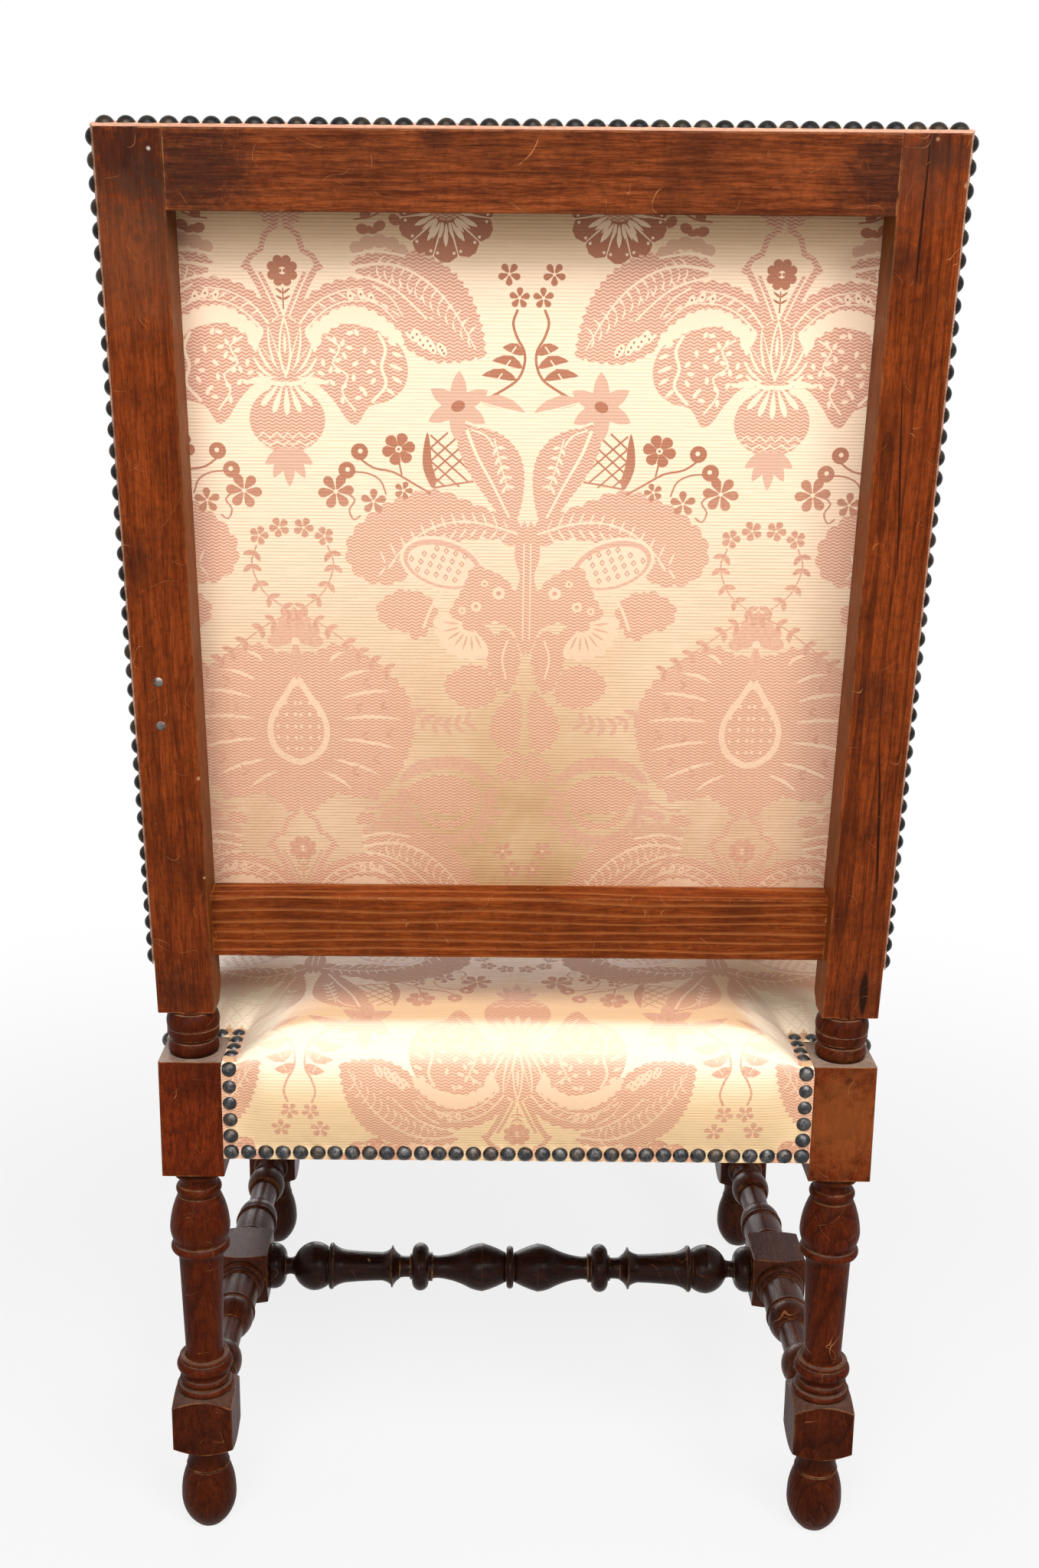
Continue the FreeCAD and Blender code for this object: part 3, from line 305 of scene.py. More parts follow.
def dress_wood():
    """Every piece of wood in its own stain, with the marks that the photograph shows."""
    stile = lin(132, 59, 21), lin(94, 37, 10), lin(48, 18, 6)
    turned = lin(92, 40, 18), lin(56, 23, 10), lin(20, 9, 5)
    black, bare, chip = lin(26, 16, 14), lin(196, 150, 106), lin(220, 204, 188)
    tones = [
        (0.0, FOOT_TOP, (0.40, 0.38, 0.42, 1)),
        (FOOT_TOP, BLOCK_TOP, (0.36, 0.33, 0.38, 1)),
        (BLOCK_TOP, COLUMN_TOP, (0.46, 0.38, 0.40, 1)),
        (COLUMN_TOP, SEAT_TOP, (0.74, 0.58, 0.58, 1)),
        (SEAT_TOP, COLLAR_TOP, (0.40, 0.34, 0.38, 1)),
    ]
    left_spots = on_rear_face(
        (0.252, 0.618, 0.042, black, 0.75),
        (0.232, 0.590, 0.030, black, 0.6),
        (0.2405, 0.6245, 0.0017, chip, 0.7),
        (0.2330, 0.1950, 0.0018, bare, 0.7),
        (0.2330, 0.1150, 0.0016, bare, 0.7),
        (0.262, 0.02, 0.030, black, 0.5),
        (0.272, 0.36, 0.024, black, 0.4),
        (0.250, 0.56, 0.060, lin(96, 62, 42), 0.35),
    )
    right_spots = on_rear_face(
        (-0.255, 0.632, 0.022, black, 0.6),
        (-0.236, 0.560, 0.022, black, 0.6),
        (-0.2535, 0.6335, 0.0018, bare, 0.7),
        (-0.2750, 0.6060, 0.0022, bare, 0.7),
        (-0.240, 0.26, 0.030, black, 0.35),
        (-0.262, 0.02, 0.030, black, 0.4),
    ) + [((-0.2509, REAR_FACE_Y, 0.372), 0.055, lin(148, 82, 38), 0.45)] + on_rear_face(
        (-0.240, 0.616, 0.040, lin(74, 44, 32), 0.45),
    )
    right_cracks = on_rear_face(
        (-0.2487, 0.590, 0.0011, 0.056, 0.0),
        (-0.2505, 0.420, 0.0009, 0.085, 0.067),
        (-0.2595, 0.164, 0.0012, 0.080, 0.0735),
        (-0.2620, 0.022, 0.0040, 0.022, 0.0),
    )
    sides = (("left", (0.262, 0.1147, 0.2), 0.28, left_spots, ()),
             ("right", (-0.240, 0.1217, 0.2), 0.5, right_spots, right_cracks))
    for index, (side, pith, rings, spots, cracks) in enumerate(sides):
        shift = (0.37 * index, 0.11, 0.2)
        put(nodes["rear_leg_" + side], wood(
            "rear_leg_wood_" + side, 2, *stile, 0.34, BACK_RAKE, shift, rings, tones, spots, grime_and_shade=0.75,
            dust=0.9, painted_lit_sides=0.3, pith=pith, cracks=cracks))
        for piece, along in (("front_leg", 2), ("side_stretcher", 1)):
            put(nodes[f"{piece}_{side}"], wood(
                f"{piece}_wood_{side}", along, *turned, 0.22, 0.0, shift, 0.2, shine=0.08))
    put(nodes["cross_stretcher"], wood(
        "cross_stretcher_wood", 0, lin(58, 26, 14), lin(28, 13, 8), lin(10, 5, 4), 0.20, rings=0.1, wear=1.0,
        grime_and_shade=0.95, shine=0.10))
    top_spots = on_rear_face(
        (0.212, 0.612, 0.045, black, 0.7),
        (-0.222, 0.612, 0.030, black, 0.65),
        (0.06, 0.634, 0.012, black, 0.5),
    )
    put(nodes["back_top_rail"], wood(
        "top_rail_wood", 0, lin(132, 66, 31), lin(84, 36, 14), lin(46, 19, 9), 0.4, offset=(0.2, 0.4, 0.1),
        rings=0.35, spots=top_spots, grime_and_shade=0.5, pith=(0, 0.32, 1.02)))
    rail_spots = on_rear_face(
        (-0.0205, 0.055, 0.0075, black, 0.7),
        (-0.2050, 0.062, 0.0075, black, 0.75),
        (0.205, 0.058, 0.009, black, 0.6),
    )
    put(nodes["back_lower_rail"], wood(
        "lower_rail_wood", 0, lin(138, 65, 23), lin(98, 39, 9), lin(62, 24, 8), 0.38, offset=(0.5, 0.2, 0.3),
        rings=0.4, spots=rail_spots, grime_and_shade=0.6, pith=(0, 0.17, 0.60), ring_tint=lin(184, 112, 60)))
    for side, along in (("rear", 0), ("front", 0), ("left", 1), ("right", 1)):
        put(nodes["seat_rail_" + side], raw_wood(f"seat_rail_{side}_wood", along))
    block_wood = raw_wood("corner_block_wood", 0)
    for ends in ("rear_left", "rear_right", "front_left", "front_right"):
        put(nodes["corner_block_" + ends], block_wood)


def dress_metal():
    """Brown nails round the seat, a darker copy of them up the back whose darkness is painted shade, and two
    steel pins.
    """
    seat_nail = dark_metal("seat_nail_bronze", lin(52, 53, 56), lin(98, 95, 92), 0.26)
    # painted shade: the back's nails are a darker copy of the seat's nails
    shaded_back_nail = dark_metal("back_nail_bronze", lin(20, 19, 19), lin(44, 41, 39), 0.30)
    for name in nodes:
        if "_nails_" in name:
            put(nodes[name], seat_nail if name.startswith("seat") else shaded_back_nail)
    put(nodes["stile_pins"], dark_metal("pin_steel", lin(120, 112, 108), lin(60, 44, 36), 0.3))


# The damask, drawn in millimetres: u from the middle of a repeat outwards, v down the cloth. A motif is a
# function that hands each of its shapes, with the weave that fills it, to add.

HALF_REPEAT = 166.0
REPEAT = 424.0
HATCH, DEEP, PINK, PLAIN, ROSE, GROUND = range(6)
# How much of each weave a kind of face has: netted, solid rose, pale rose, plain cream
WEAVES = {HATCH: (1, 0, 0, 0), DEEP: (0, 1, 0, 0), PINK: (0, 0, 1, 0), PLAIN: (0, 0, 0, 1),
          ROSE: (0, 0.5, 0.5, 0), GROUND: (0, 0, 0, 0)}


def pairs(points):
    """Places given as an array, or as a text such as "12,7 30,9"."""
    if isinstance(points, str):
        points = [pair.split(",") for pair in points.split()]
    return np.array(points, float)


def heading(angle):
    """A step of length 1."""
    return np.array([math.cos(angle), math.sin(angle)])


def smooth(points, closed=True, steps=3):
    """A Catmull-Rom curve through points."""
    places = pairs(points)
    count = len(places)
    if closed:
        spans = [tuple(places[(i + step) % count] for step in (-1, 0, 1, 2)) for i in range(count)]
    else:
        padded_places = np.vstack([2 * places[0] - places[1], places, 2 * places[-1] - places[-2]])
        spans = [tuple(padded_places[i:i + 4]) for i in range(count - 1)]
    curve = []
    for before, start, end, after in spans:
        for step in range(steps):
            t = step / steps
            curve.append(0.5 * (2 * start + (end - before) * t
                                + (2 * before - 5 * start + 4 * end - after) * t ** 2
                                + (3 * start - before - 3 * end + after) * t ** 3))
    if not closed:
        curve.append(places[-1])
    return np.array(curve)


def evenly(curve, pitch):
    """The points of a closed curve at an even pitch."""
    loop = np.vstack([curve, curve[:1]])
    lengths = np.concatenate([[0], np.cumsum(np.linalg.norm(np.diff(loop, axis=0), axis=1))])
    count = max(8, int(lengths[-1] / pitch) // 2 * 2)
    at = np.linspace(0, lengths[-1], count, endpoint=False)
    return np.column_stack([np.interp(at, lengths, loop[:, axis]) for axis in range(2)])


def normals_of(curve):
    """Outward unit normals of a closed curve."""
    along = np.roll(curve, -1, axis=0) - np.roll(curve, 1, axis=0)
    out = np.column_stack([along[:, 1], -along[:, 0]])
    out /= np.linalg.norm(out, axis=1)[:, None] + 1e-9
    area = np.sum(curve[:, 0] * np.roll(curve[:, 1], -1) - curve[:, 1] * np.roll(curve[:, 0], -1))
    return out if area > 0 else -out


def serrated(points, pitch, depth):
    """A closed curve with small teeth."""
    curve = evenly(smooth(points), pitch / 2)
    teeth = np.where(np.arange(len(curve)) % 2 == 0, depth, 0.0)
    return curve + normals_of(curve) * teeth[:, None]


def scalloped(points, pitch, depth):
    """A closed curve with round lobes."""
    curve = evenly(smooth(points), pitch / 4)
    lobes = depth * np.abs(np.sin(np.arange(len(curve)) * math.pi / 4))
    return curve + normals_of(curve) * lobes[:, None]


def ribbon(points, width, end_width=None, steps=3):
    """A band along a curve, whose width may change to another at its end."""
    line = smooth(points, False, steps)
    along = np.gradient(line, axis=0)
    across = np.column_stack([-along[:, 1], along[:, 0]])
    across /= np.linalg.norm(across, axis=1)[:, None] + 1e-9
    widths = np.linspace(width, width if end_width is None else end_width, len(line))[:, None] / 2
    return np.vstack([line + across * widths, (line - across * widths)[::-1]])


def leaf(base, tip, width, bend=0.0):
    """A pointed leaf between two points."""
    base, tip = np.array(base, float), np.array(tip, float)
    along = tip - base
    across = np.array([-along[1], along[0]]) / (np.linalg.norm(along) + 1e-9)
    shares = np.array([0, 0.15, 0.4, 0.7, 0.9, 1.0])
    half = np.array([0, 0.62, 1.0, 0.78, 0.36, 0]) * width / 2
    spine = base + shares[:, None] * along + across * (bend * np.sin(shares * math.pi))[:, None]
    left = spine + across * half[:, None]
    right = spine - across * half[:, None]
    return np.vstack([left, right[::-1][1:-1]])


def petal(centre, angle, inner, outer, width):
    """A round-ended petal that points away from a centre."""
    centre, turn = np.array(centre, float), heading(angle)
    side = np.array([-turn[1], turn[0]])
    shares = ((0, 0.18), (0.3, 0.62), (0.62, 1.0), (0.86, 0.86), (1.0, 0.3))
    reach = outer - inner
    left = [centre + turn * (inner + reach * s) + side * (w * width / 2) for s, w in shares]
    right = [centre + turn * (inner + reach * s) - side * (w * width / 2) for s, w in reversed(shares)]
    return np.array(left + right)


def disc(centre, across, down=None, turn=0.0, count=14):
    """A round or oval with as many corners as count."""
    down = across if down is None else down
    angles = np.arange(count) * 2 * math.pi / count
    shape = np.column_stack([across * np.cos(angles), down * np.sin(angles)])
    spin = np.array([[math.cos(turn), -math.sin(turn)], [math.sin(turn), math.cos(turn)]])
    return shape @ spin.T + np.array(centre, float)


def blossom(add, kind, centre, radius, count, width, turn=0.0, heart=DEEP, heart_radius=0.0):
    """A flower of petals, with an eye if it has a heart radius."""
    centre = np.array(centre, float)
    for index in range(count):
        angle = turn + index * 2 * math.pi / count
        add(kind, petal(centre, angle, radius * 0.12, radius, width))
    if heart_radius:
        add(heart, disc(centre, heart_radius, count=8))


def spray(add, kind, points, leaf_length, leaf_width, stem=1.0, count=6, spread=0.9):
    """A stem with leaves on alternate sides."""
    line = smooth(points, False, 6)
    add(kind, ribbon(points, stem, steps=4))
    for index in range(count):
        at = int((index + 0.5) / count * (len(line) - 1))
        along = line[min(at + 1, len(line) - 1)] - line[at - 1]
        along_stem = math.atan2(along[1], along[0])
        for side in (1, -1):
            tip = line[at] + leaf_length * heading(along_stem + side * spread)
            add(kind, leaf(line[at], tip, leaf_width))


def leaves(add, kind, ends, width, bend=0.0):
    """Leaves whose bases and tips are given in turn."""
    places = pairs(ends)
    for base, tip in zip(places[::2], places[1::2]):
        add(kind, leaf(base, tip, width, bend))


def pomegranate(add):
    """The fruit with its round leaves, scrolled top, bud and lozenge, about the outer axis."""
    axis = HALF_REPEAT
    add(HATCH, smooth("152,84 142,77 128,75 112,77 98,82 88,90 83,104 86,118 97,127 110,131 118,143 125,140 "
                      "133,128 142,118 152,110"))
    add(PLAIN, ribbon("103,81 98,92 101,104 98,116 108,128", 2.2))
    leaves(add, PLAIN, "97,86 90,90 94,94 86,97 96,102 86,106 94,110 87,115 98,118 92,123", 2.8)
    add(PLAIN, ribbon("138,84 129,91 134,102 124,110 128,121 119,134", 1.4))
    add(PLAIN, petal((150, 93), math.radians(-130), 0, 12, 7.5))
    for row in range(6):
        for step in range(5):
            u = 141 - 8.2 * step + 3.4 * (row % 2)
            v = 82 + 8.4 * row + 1.5 * (step % 2)
            if abs(u - 131) + abs(v - 104) < 40 and v < 148 - 0.5 * abs(u - 120):
                angle = 0.9 * row + 1.7 * step
                add(PLAIN, leaf((u, v), (u, v) + 5.6 * heading(angle), 3.0))
    add(HATCH, scalloped("158,74 148,58 132,49 114,47 98,53 87,64 81,78 88,80 98,70 112,64 128,64 142,72 "
                         "154,84",
                         9, 2.2))
    add(PLAIN, scalloped("152,83 142,74 128,66 112,66 98,73 87,84 90,88 104,78 122,73 138,80 150,90", 7, 2.0))
    for curve in ("156,76 144,62 128,54 112,52", "152,80 140,68 126,61 108,60",
                  "106,50 94,58 86,70", "112,58 100,64 90,74"):
        add(PLAIN, ribbon(curve, 1.5, 0.7))
    for index in range(9):
        share = index / 8
        u = 150 - 56 * share
        v = 66 - 12 * math.sin(share * math.pi)
        add(PLAIN, leaf((u, v), (u - 6, v + 4), 1.5))
    for u, v in ((121, 57), (114, 56), (107, 58)):
        add(PLAIN, disc((u, v), 2.2, 3.8, 0.3, 10))
        add(DEEP, disc((u, v), 0.9, count=6))
    add(HATCH, disc((axis, 140), 26, 23, count=26))
    add(HATCH, smooth("166,70 157,76 150,86 146,98 149,110 158,120 166,124 174,120 183,110 186,98 182,86 "
                      "175,76"))
    for index, (reach, wide) in enumerate(((38, 6.2), (34, 6.0), (27, 5.6), (21, 5.0))):
        for side in (-1, 1):
            angle = math.radians(-90 + side * (17 + 19 * index))
            tip = (axis, 113) + reach * heading(angle)
            add(PLAIN, leaf((axis, 117), tip, wide, 1.5 * side))
            add(HATCH, leaf((axis, 114), tip - 2.6 * heading(angle), wide - 2.8, 1.5 * side))
    add(PLAIN, leaf((axis, 112), (axis, 70), 9))
    add(HATCH, leaf((axis, 107), (axis, 74), 6))
    add(PLAIN, leaf((axis, 96), (axis, 81), 2.2))
    for index in range(9):
        angle = math.radians(10 + 20 * index)
        add(PLAIN, petal((axis, 110), angle, 8, 27, 4.2))
    for lift, high in ((0, 4), (6, 3)):
        zigzag = [(axis - 26 + 4.6 * step, 149 + lift + (high if step % 2 else 0)) for step in range(12)]
        add(PLAIN, ribbon(zigzag, 1.2, steps=1))
    for index in range(5):
        angle = math.radians(34 + 28 * index)
        reach = 27 - 3.5 * abs(index - 2)
        add(PINK, leaf((axis, 160), (axis, 160) + reach * heading(angle), 9.0))
    add(HATCH, ribbon("143,38 150,50 160,72", 4.2, steps=1))
    add(HATCH, ribbon("151,42 157,54 164,70", 2.4, steps=1))
    add(HATCH, ribbon("140,40 146,31 152,28 155,18 162,12 166,4", 3.8, steps=1))
    blossom(add, DEEP, (axis, 41), 10.5, 8, 6.4, 0.39, PLAIN, 2.6)
    add(DEEP, disc((axis - 1.5, 41), 1.3, count=6))
    add(DEEP, ribbon("166,52 166,66", 1.0))
    leaves(add, DEEP, "166,56 161,52 166,60 161,57", 1.8)


def plume(add):
    """The great serrated leaf with its veins and its ladder of lozenges."""
    add(HATCH, scalloped("99,66 93,80 82,91 66,99 48,99 36,96 46,88 60,78 76,66 90,58", 7, 1.8))
    for u, v, high in ((89, 74, 6.5), (82, 80, 8.0), (75, 85, 8.0), (68, 89, 7.0), (60, 92, 5.0)):
        add(PLAIN, disc((u, v), 2.9, high, 0.55, 14))
        for shift in (-0.45, 0.1, 0.6):
            place = (u - shift * high * 0.5, v + shift * high * 0.85)
            add(DEEP, disc(place, 0.8, 1.0, count=6))
    add(HATCH, serrated("119,36 108,31 90,28 71,31 53,42 41,58 34,78 32,97 44,89 58,78 72,66 88,57 104,50",
                        6, 2.4))
    add(PLAIN, ribbon("120,39 100,36 82,40 64,52 50,69 37,92", 2.4, 0.8))
    for index in range(13):
        share = (index + 0.6) / 13
        u = 106 - 66 * share
        v = 37 + 48 * share ** 1.45
        add(PLAIN, leaf((u, v), (u - 6, v - 7), 1.4, 1.0))
        add(PLAIN, leaf((u, v), (u - 2, v + 8), 1.3, -1.0))
    add(PLAIN, ribbon("119,44 106,46 92,52 80,62 70,72", 1.8, 1.2))
    for index in range(6):
        u, v = 110 - 7 * index, 47 + 1.0 * index ** 1.6
        add(PLAIN, leaf((u, v), (u - 3, v - 5), 1.4))
    for u, v, radius in ((116, 26, 5.0), (109, 22.5, 5.5), (101, 21.5, 5.5), (93, 23, 5.0), (87, 27, 4.5)):
        add(ROSE, disc((u, v), radius, radius * 0.85, count=12))
    add(PLAIN, ribbon("121,31 104,28 84,31", 1.6))


DAISY = np.array([57.0, 2.0])
DAISY_ARCH = "92,-14 84,-27 66,-34 46,-34 32,-26 26,-14 36,-20 50,-25 66,-25 80,-20"
DAISY_STEM = "118,8 106,6 96,0 86,-6"


def daisy(add):
    """The dark daisy with dotted petals, its dome and the curled buds beside it."""
    centre = DAISY
    add(PINK, scalloped(DAISY_ARCH, 9, 2.6))
    add(HATCH, smooth("88,-2 80,-14 64,-20 46,-18 34,-8 34,2 57,8"))
    for index in range(7):
        angle = math.radians(-8 + 32.5 * index)
        ray = heading(angle)
        add(DEEP, petal(centre, angle, 6, 33, 17.5))
        for side in (-0.2, 0.2):
            dot = centre + 27.5 * heading(angle + side)
            add(PLAIN, disc(dot, 1.1, count=6))
        add(PLAIN, leaf(centre + 12 * ray, centre + 23 * ray, 3.4))
    for index in range(8):
        angle = math.radians(-24 + 32.5 * index)
        ray = heading(angle)
        add(PLAIN, ribbon([centre + 8 * ray, centre + 31 * ray], 1.8, 0.5, steps=1))
    for index in range(15):
        angle = math.radians(-4 + 13.5 * index)
        ray = heading(angle)
        add(PLAIN, leaf(centre + 8 * ray, centre + (18 + 2 * (index % 2)) * ray, 2.4))
    add(HATCH, disc(centre + (0, -2), 12, 8, count=16))
    for u, v, angle in ((101, 12, 0.5), (91, 8, 2.4), (110, 4, 4.0), (99, -6, 1.2), (112, 14, 2.9),
                        (90, -4, 5.2)):
        bud = np.array([u, v], float)
        add(DEEP, disc(bud, 4.4, 3.4, angle, 10))
        add(DEEP, leaf(bud, bud + 9 * heading(angle), 3.6, 1.5))
    add(DEEP, ribbon(DAISY_STEM, 1.2))


def worn_daisy(add):
    """What is left of the daisy where its dark threads have gone: the arch, the dome and the fringe."""
    def arc(radius, start, end):
        angles = np.radians(np.linspace(start, end, 13))
        return DAISY + radius * np.column_stack([np.cos(angles), np.sin(angles)])

    add(PINK, serrated(DAISY_ARCH, 4, 1.4))
    add(HATCH, smooth("88,-2 80,-14 64,-20 46,-18 34,-8 34,2 57,12"))
    add(HATCH, serrated(ribbon(arc(19, -4, 184), 5.0, steps=1), 4, 0.9))
    add(PINK, serrated(ribbon(arc(30, -14, 194), 5.0, steps=1), 4.0, 1.2))
    add(PINK, ribbon(DAISY_STEM, 2.4))
    add(PINK, disc((101, 12), 6.5, 4.2, 0.5))
    add(PINK, disc((112, -4), 6.0, 3.8, 2.2))
    add(HATCH, disc((118, 16), 8.0, 5.0, 0.2))
    for index in range(17):
        add(PINK, petal(DAISY, math.radians(-14 + 13 * index), 26, 38 + 2.5 * (index % 3), 6.4))


def stars(add):
    """Small flowers, the S stem with its leaves and the star flower."""
    blossom(add, DEEP, (15, 42), 7.6, 5, 4.6, 0.3, PLAIN, 1.2)
    blossom(add, DEEP, (8, 57.5), 7.0, 5, 4.4, 0.9, PLAIN, 1.2)
    add(DEEP, ribbon("9,65 12,74 9,84 4.5,92 4,101 8,111 17,118 31,126", 1.8))
    for base, tip, bend in (((4.5, 95), (19, 90), -2), ((5, 104), (26, 99), -3), ((9, 112), (33, 109), -3)):
        add(DEEP, leaf(base, tip, 7.5, bend))
        middle = (np.array(base) + np.array(tip)) / 2
        add(PLAIN, ribbon([middle + (-2, -3), middle + (1, 1)], 1.0, steps=1))
    centre = np.array([49.0, 130.0])
    for index, reach in enumerate((24, 22, 23, 24, 22, 23)):
        angle = math.radians(-92 + 60 * index)
        add(PINK, leaf(centre, centre + reach * heading(angle), 11.5))
    add(PINK, leaf((36, 126), (3, 134), 9.5, 3))
    add(PLAIN, ribbon("34,127 20,131 6,134", 0.9))
    add(DEEP, disc(centre, 5.0, 3.8, 0.4, 10))


def paisley(add):
    """The feathered wing with its trellis and the long paisley leaf."""
    for v, reach in ((150, 26), (159, 26), (168, 20), (177, 10)):
        add(DEEP, ribbon([(68, v), (68 - reach, v + reach * 0.9)], 1.3, steps=1))
    for v, reach in ((159, 12), (168, 22), (177, 30), (186, 32)):
        add(DEEP, ribbon([(68, v), (68 - reach, v - reach * 0.9)], 1.3, steps=1))
    add(DEEP, ribbon("66,187 50,184 38,182", 1.3))
    add(DEEP, smooth("70,148 73,160 73,174 67,187 64,182 67,170 68,158"))
    add(HATCH, serrated("47,142 36,145 22,148 10,158 4,172 4,192 10,214 18,208 30,192 42,174 49,156", 5, 0.9))
    add(PLAIN, ribbon("43,146 36,164 25,184 13,208", 2.4, 1.6))
    for index in range(5):
        share = index / 5
        u, v = 22 - 8 * share, 158 + 34 * share
        add(PLAIN, leaf((u, v), (u - 6, v + 1), 2.2))
        add(PLAIN, leaf((u, v), (u + 3, v + 6), 2.2))
    add(PLAIN, ribbon("24,152 20,168 14,188", 1.0))
    add(PLAIN, ribbon("40,146 30,150 24,158", 1.4))


def berries(add):
    """The sprig with round berries and small flowers."""
    for stem, width in (("120,164 108,173 94,176 80,184 68,191", 1.5),
                        ("124,176 112,177 103,182 99,192", 1.2), ("90,168 88,178", 1.3),
                        ("128,190 121,196 125,203 122,210 117,207", 1.3)):
        add(DEEP, ribbon(stem, width))
    for u, v in ((117, 162), (126, 175)):
        add(DEEP, disc((u, v), 6.0, count=14))
        add(PLAIN, disc((u - 0.5, v - 0.5), 1.7, count=8))
    blossom(add, DEEP, (90, 160), 11.5, 6, 8.0, 0.2, PLAIN, 2.4)
    add(DEEP, disc((90, 160), 1.1, count=6))
    blossom(add, DEEP, (87, 189), 6.5, 5, 4.2, 0.6, PLAIN, 1.2)
    blossom(add, DEEP, (134, 190), 12.5, 6, 7.0, 0.1, PLAIN, 1.0)
    blossom(add, DEEP, (108, 197), 9.0, 5, 5.4, 0.9, PLAIN, 0.9)


def body(add):
    """The lobed body in the middle with its medallion, eye, pale daisy and column."""
    add(HATCH, scalloped("5,214 24,205 44,197 58,191 72,190 84,194 97,199 109,207 119,216 126,228 125,242 "
                         "116,252 102,256 90,253 82,244 71,233 56,226 40,222 22,222 6,228", 12, 2.6))
    add(PLAIN, ribbon("6,220 28,213 50,211 70,217 86,229 98,244", 1.8, 1.0))
    for index in range(13):
        share = index / 12
        u = 14 + 86 * share
        v = 214 - 6 * math.sin(share * math.pi) + 26 * share ** 2
        add(PLAIN, leaf((u, v + 2), (u + 4, v - 8), 1.5))
        add(PLAIN, leaf((u, v + 4), (u + 6, v + 12), 1.7))
    add(HATCH, scalloped("86,262 98,266 106,276 100,287 86,291 78,297 70,289 65,277 72,266", 9, 2.4))
    add(PLAIN, ribbon("60,262 68,274 74,290", 2.0))
    add(HATCH, smooth("0,216 7,220 9,236 5,250 8,262 12,276 22,284 10,290 5,302 0,304"))
    add(PLAIN, ribbon("2.4,226 2.4,298", 1.0))
    add(PLAIN, disc((60, 242), 31, 19.5, -0.30, 26))
    add(PINK, disc((60, 242), 28.5, 17, -0.30, 24))
    add(PLAIN, disc((60, 243), 25.5, 14, -0.30, 22))
    for row in range(4):
        for column in range(6):
            u = 44 + 6.6 * column + 2.4 * row
            v = 236 + 5.8 * row - 1.9 * column
            if ((u - 60) / 24) ** 2 + ((v - 242) / 13) ** 2 < 0.95:
                add(DEEP, disc((u, v), 2.1, 2.6, count=4))
                add(PLAIN, disc((u, v), 0.9, 1.2, count=4))
    add(HATCH, scalloped("38,244 26,247 13,256 8,268 14,279 28,285 44,286 54,279 49,268 43,256", 8, 1.6))
    for u, v, radius in ((20, 263, 4.6), (36, 273, 3.8), (30, 256, 2.6), (46, 276, 2.8)):
        add(PLAIN, disc((u, v), radius, count=10))
        add(DEEP, disc((u, v), radius * 0.42, count=7))
    add(HATCH, smooth("34,286 26,290 22,298 28,304 36,300 39,292"))
    add(HATCH, scalloped("12,292 22,296 27,310 24,326 15,338 8,328 5,310", 8, 1.8))
    add(PLAIN, ribbon("13,298 17,312 14,328", 1.4))
    add(HATCH, serrated("28,322 42,318 58,330 52,344 36,350 22,342", 6, 2.0))
    add(HATCH, scalloped("4,340 14,346 22,356 24,370 14,384 5,378", 8, 2.0))
    add(HATCH, scalloped("3,386 14,392 20,400 10,408 3,404", 7, 1.8))
    pale_daisy = np.array([40.0, 287.0])
    for index in range(7):
        angle = math.radians(-6 + 20 * index)
        ray = heading(angle)
        add(PLAIN, petal(pale_daisy, angle, 3, 27, 9.4))
        add(PINK, leaf(pale_daisy + 8 * ray, pale_daisy + 20 * ray, 1.8))
    add(HATCH, disc(pale_daisy, 6.0, 5.0))
    spray(add, PINK, "84,352 70,362 54,364 38,360", 10, 4.2, 1.2, 6)
    spray(add, PINK, "30,404 18,408 6,406", 6, 2.6, 1.0, 3)


def wreath(add):
    """The leafy wreath with its flowers, the pale flower and the teardrop in its broad leaf."""
    axis = HALF_REPEAT
    add(HATCH, serrated("166,320 152,310 138,303 124,306 112,316 99,325 87,341 82,362 86,384 93,401 105,415 "
                        "122,422 138,418 150,426 166,430", 9, 2.6))
    leaves(add, PLAIN, "142,316 130,308 136,330 112,322 134,344 98,338 134,360 90,360 136,376 92,384 142,392 "
                       "104,406 150,402 128,416", 2.8, 2.0)
    for u, v in ((118, 332), (106, 350), (102, 372), (112, 392), (128, 402), (124, 352), (120, 374)):
        add(DEEP, leaf((u, v), (u - 6, v - 5), 3.0))
        add(DEEP, leaf((u, v), (u - 6, v + 3), 2.6))
    add(PLAIN, smooth("166,326 156,340 146,356 143,372 149,388 166,397 183,388 189,372 186,356 176,340"))
    add(HATCH, smooth("166,334 157,347 149,360 147.5,373 153,385 166,392 179,385 184.5,373 183,360 175,347"))
    for row in range(5):
        for step in range(3):
            add(PLAIN, disc((axis - 6.5 * step - 2, 348 + 9 * row), 1.2, 1.6, count=6))
    add(PINK, leaf((axis, 330), (axis, 300), 9))
    for index in range(7):
        angle = math.radians(-180 + 30 * index)
        add(PINK, petal((axis, 300), angle, 2, 20, 9.5))
    add(PLAIN, disc((axis, 300), 3.0, count=10))
    spray(add, DEEP, "141,229 137,243 144,262 158,274 166,279", 8.5, 4.2, 1.2, 6)
    spray(add, DEEP, "166,279 149,286 130,300 112,314 97,323", 8.5, 4.4, 1.2, 7)
    blossom(add, DEEP, (157.5, 216), 7.2, 5, 5.2, 0.5, PLAIN, 1.1)
    blossom(add, DEEP, (143, 222), 6.8, 5, 5.0, 0.0, PLAIN, 1.1)


def half_repeat(flower):
    """Every shape of half a repeat, the first ones lowest, kept on its own side of both axes."""
    kept = []

    def add(kind, outline):
        if outline[:, 0].min() < HALF_REPEAT and outline[:, 0].max() > 0:
            kept.append((kind, np.column_stack([np.clip(outline[:, 0], 0.0, HALF_REPEAT), outline[:, 1]])))

    for motif in (wreath, body, paisley, flower, plume, pomegranate, stars, berries):
        motif(add)
    return kept


TILE = half_repeat(daisy)
WORN_TILE = half_repeat(worn_daisy)
ROWS_LAID = range(-3, 4)     # enough repeats to cover every cloth


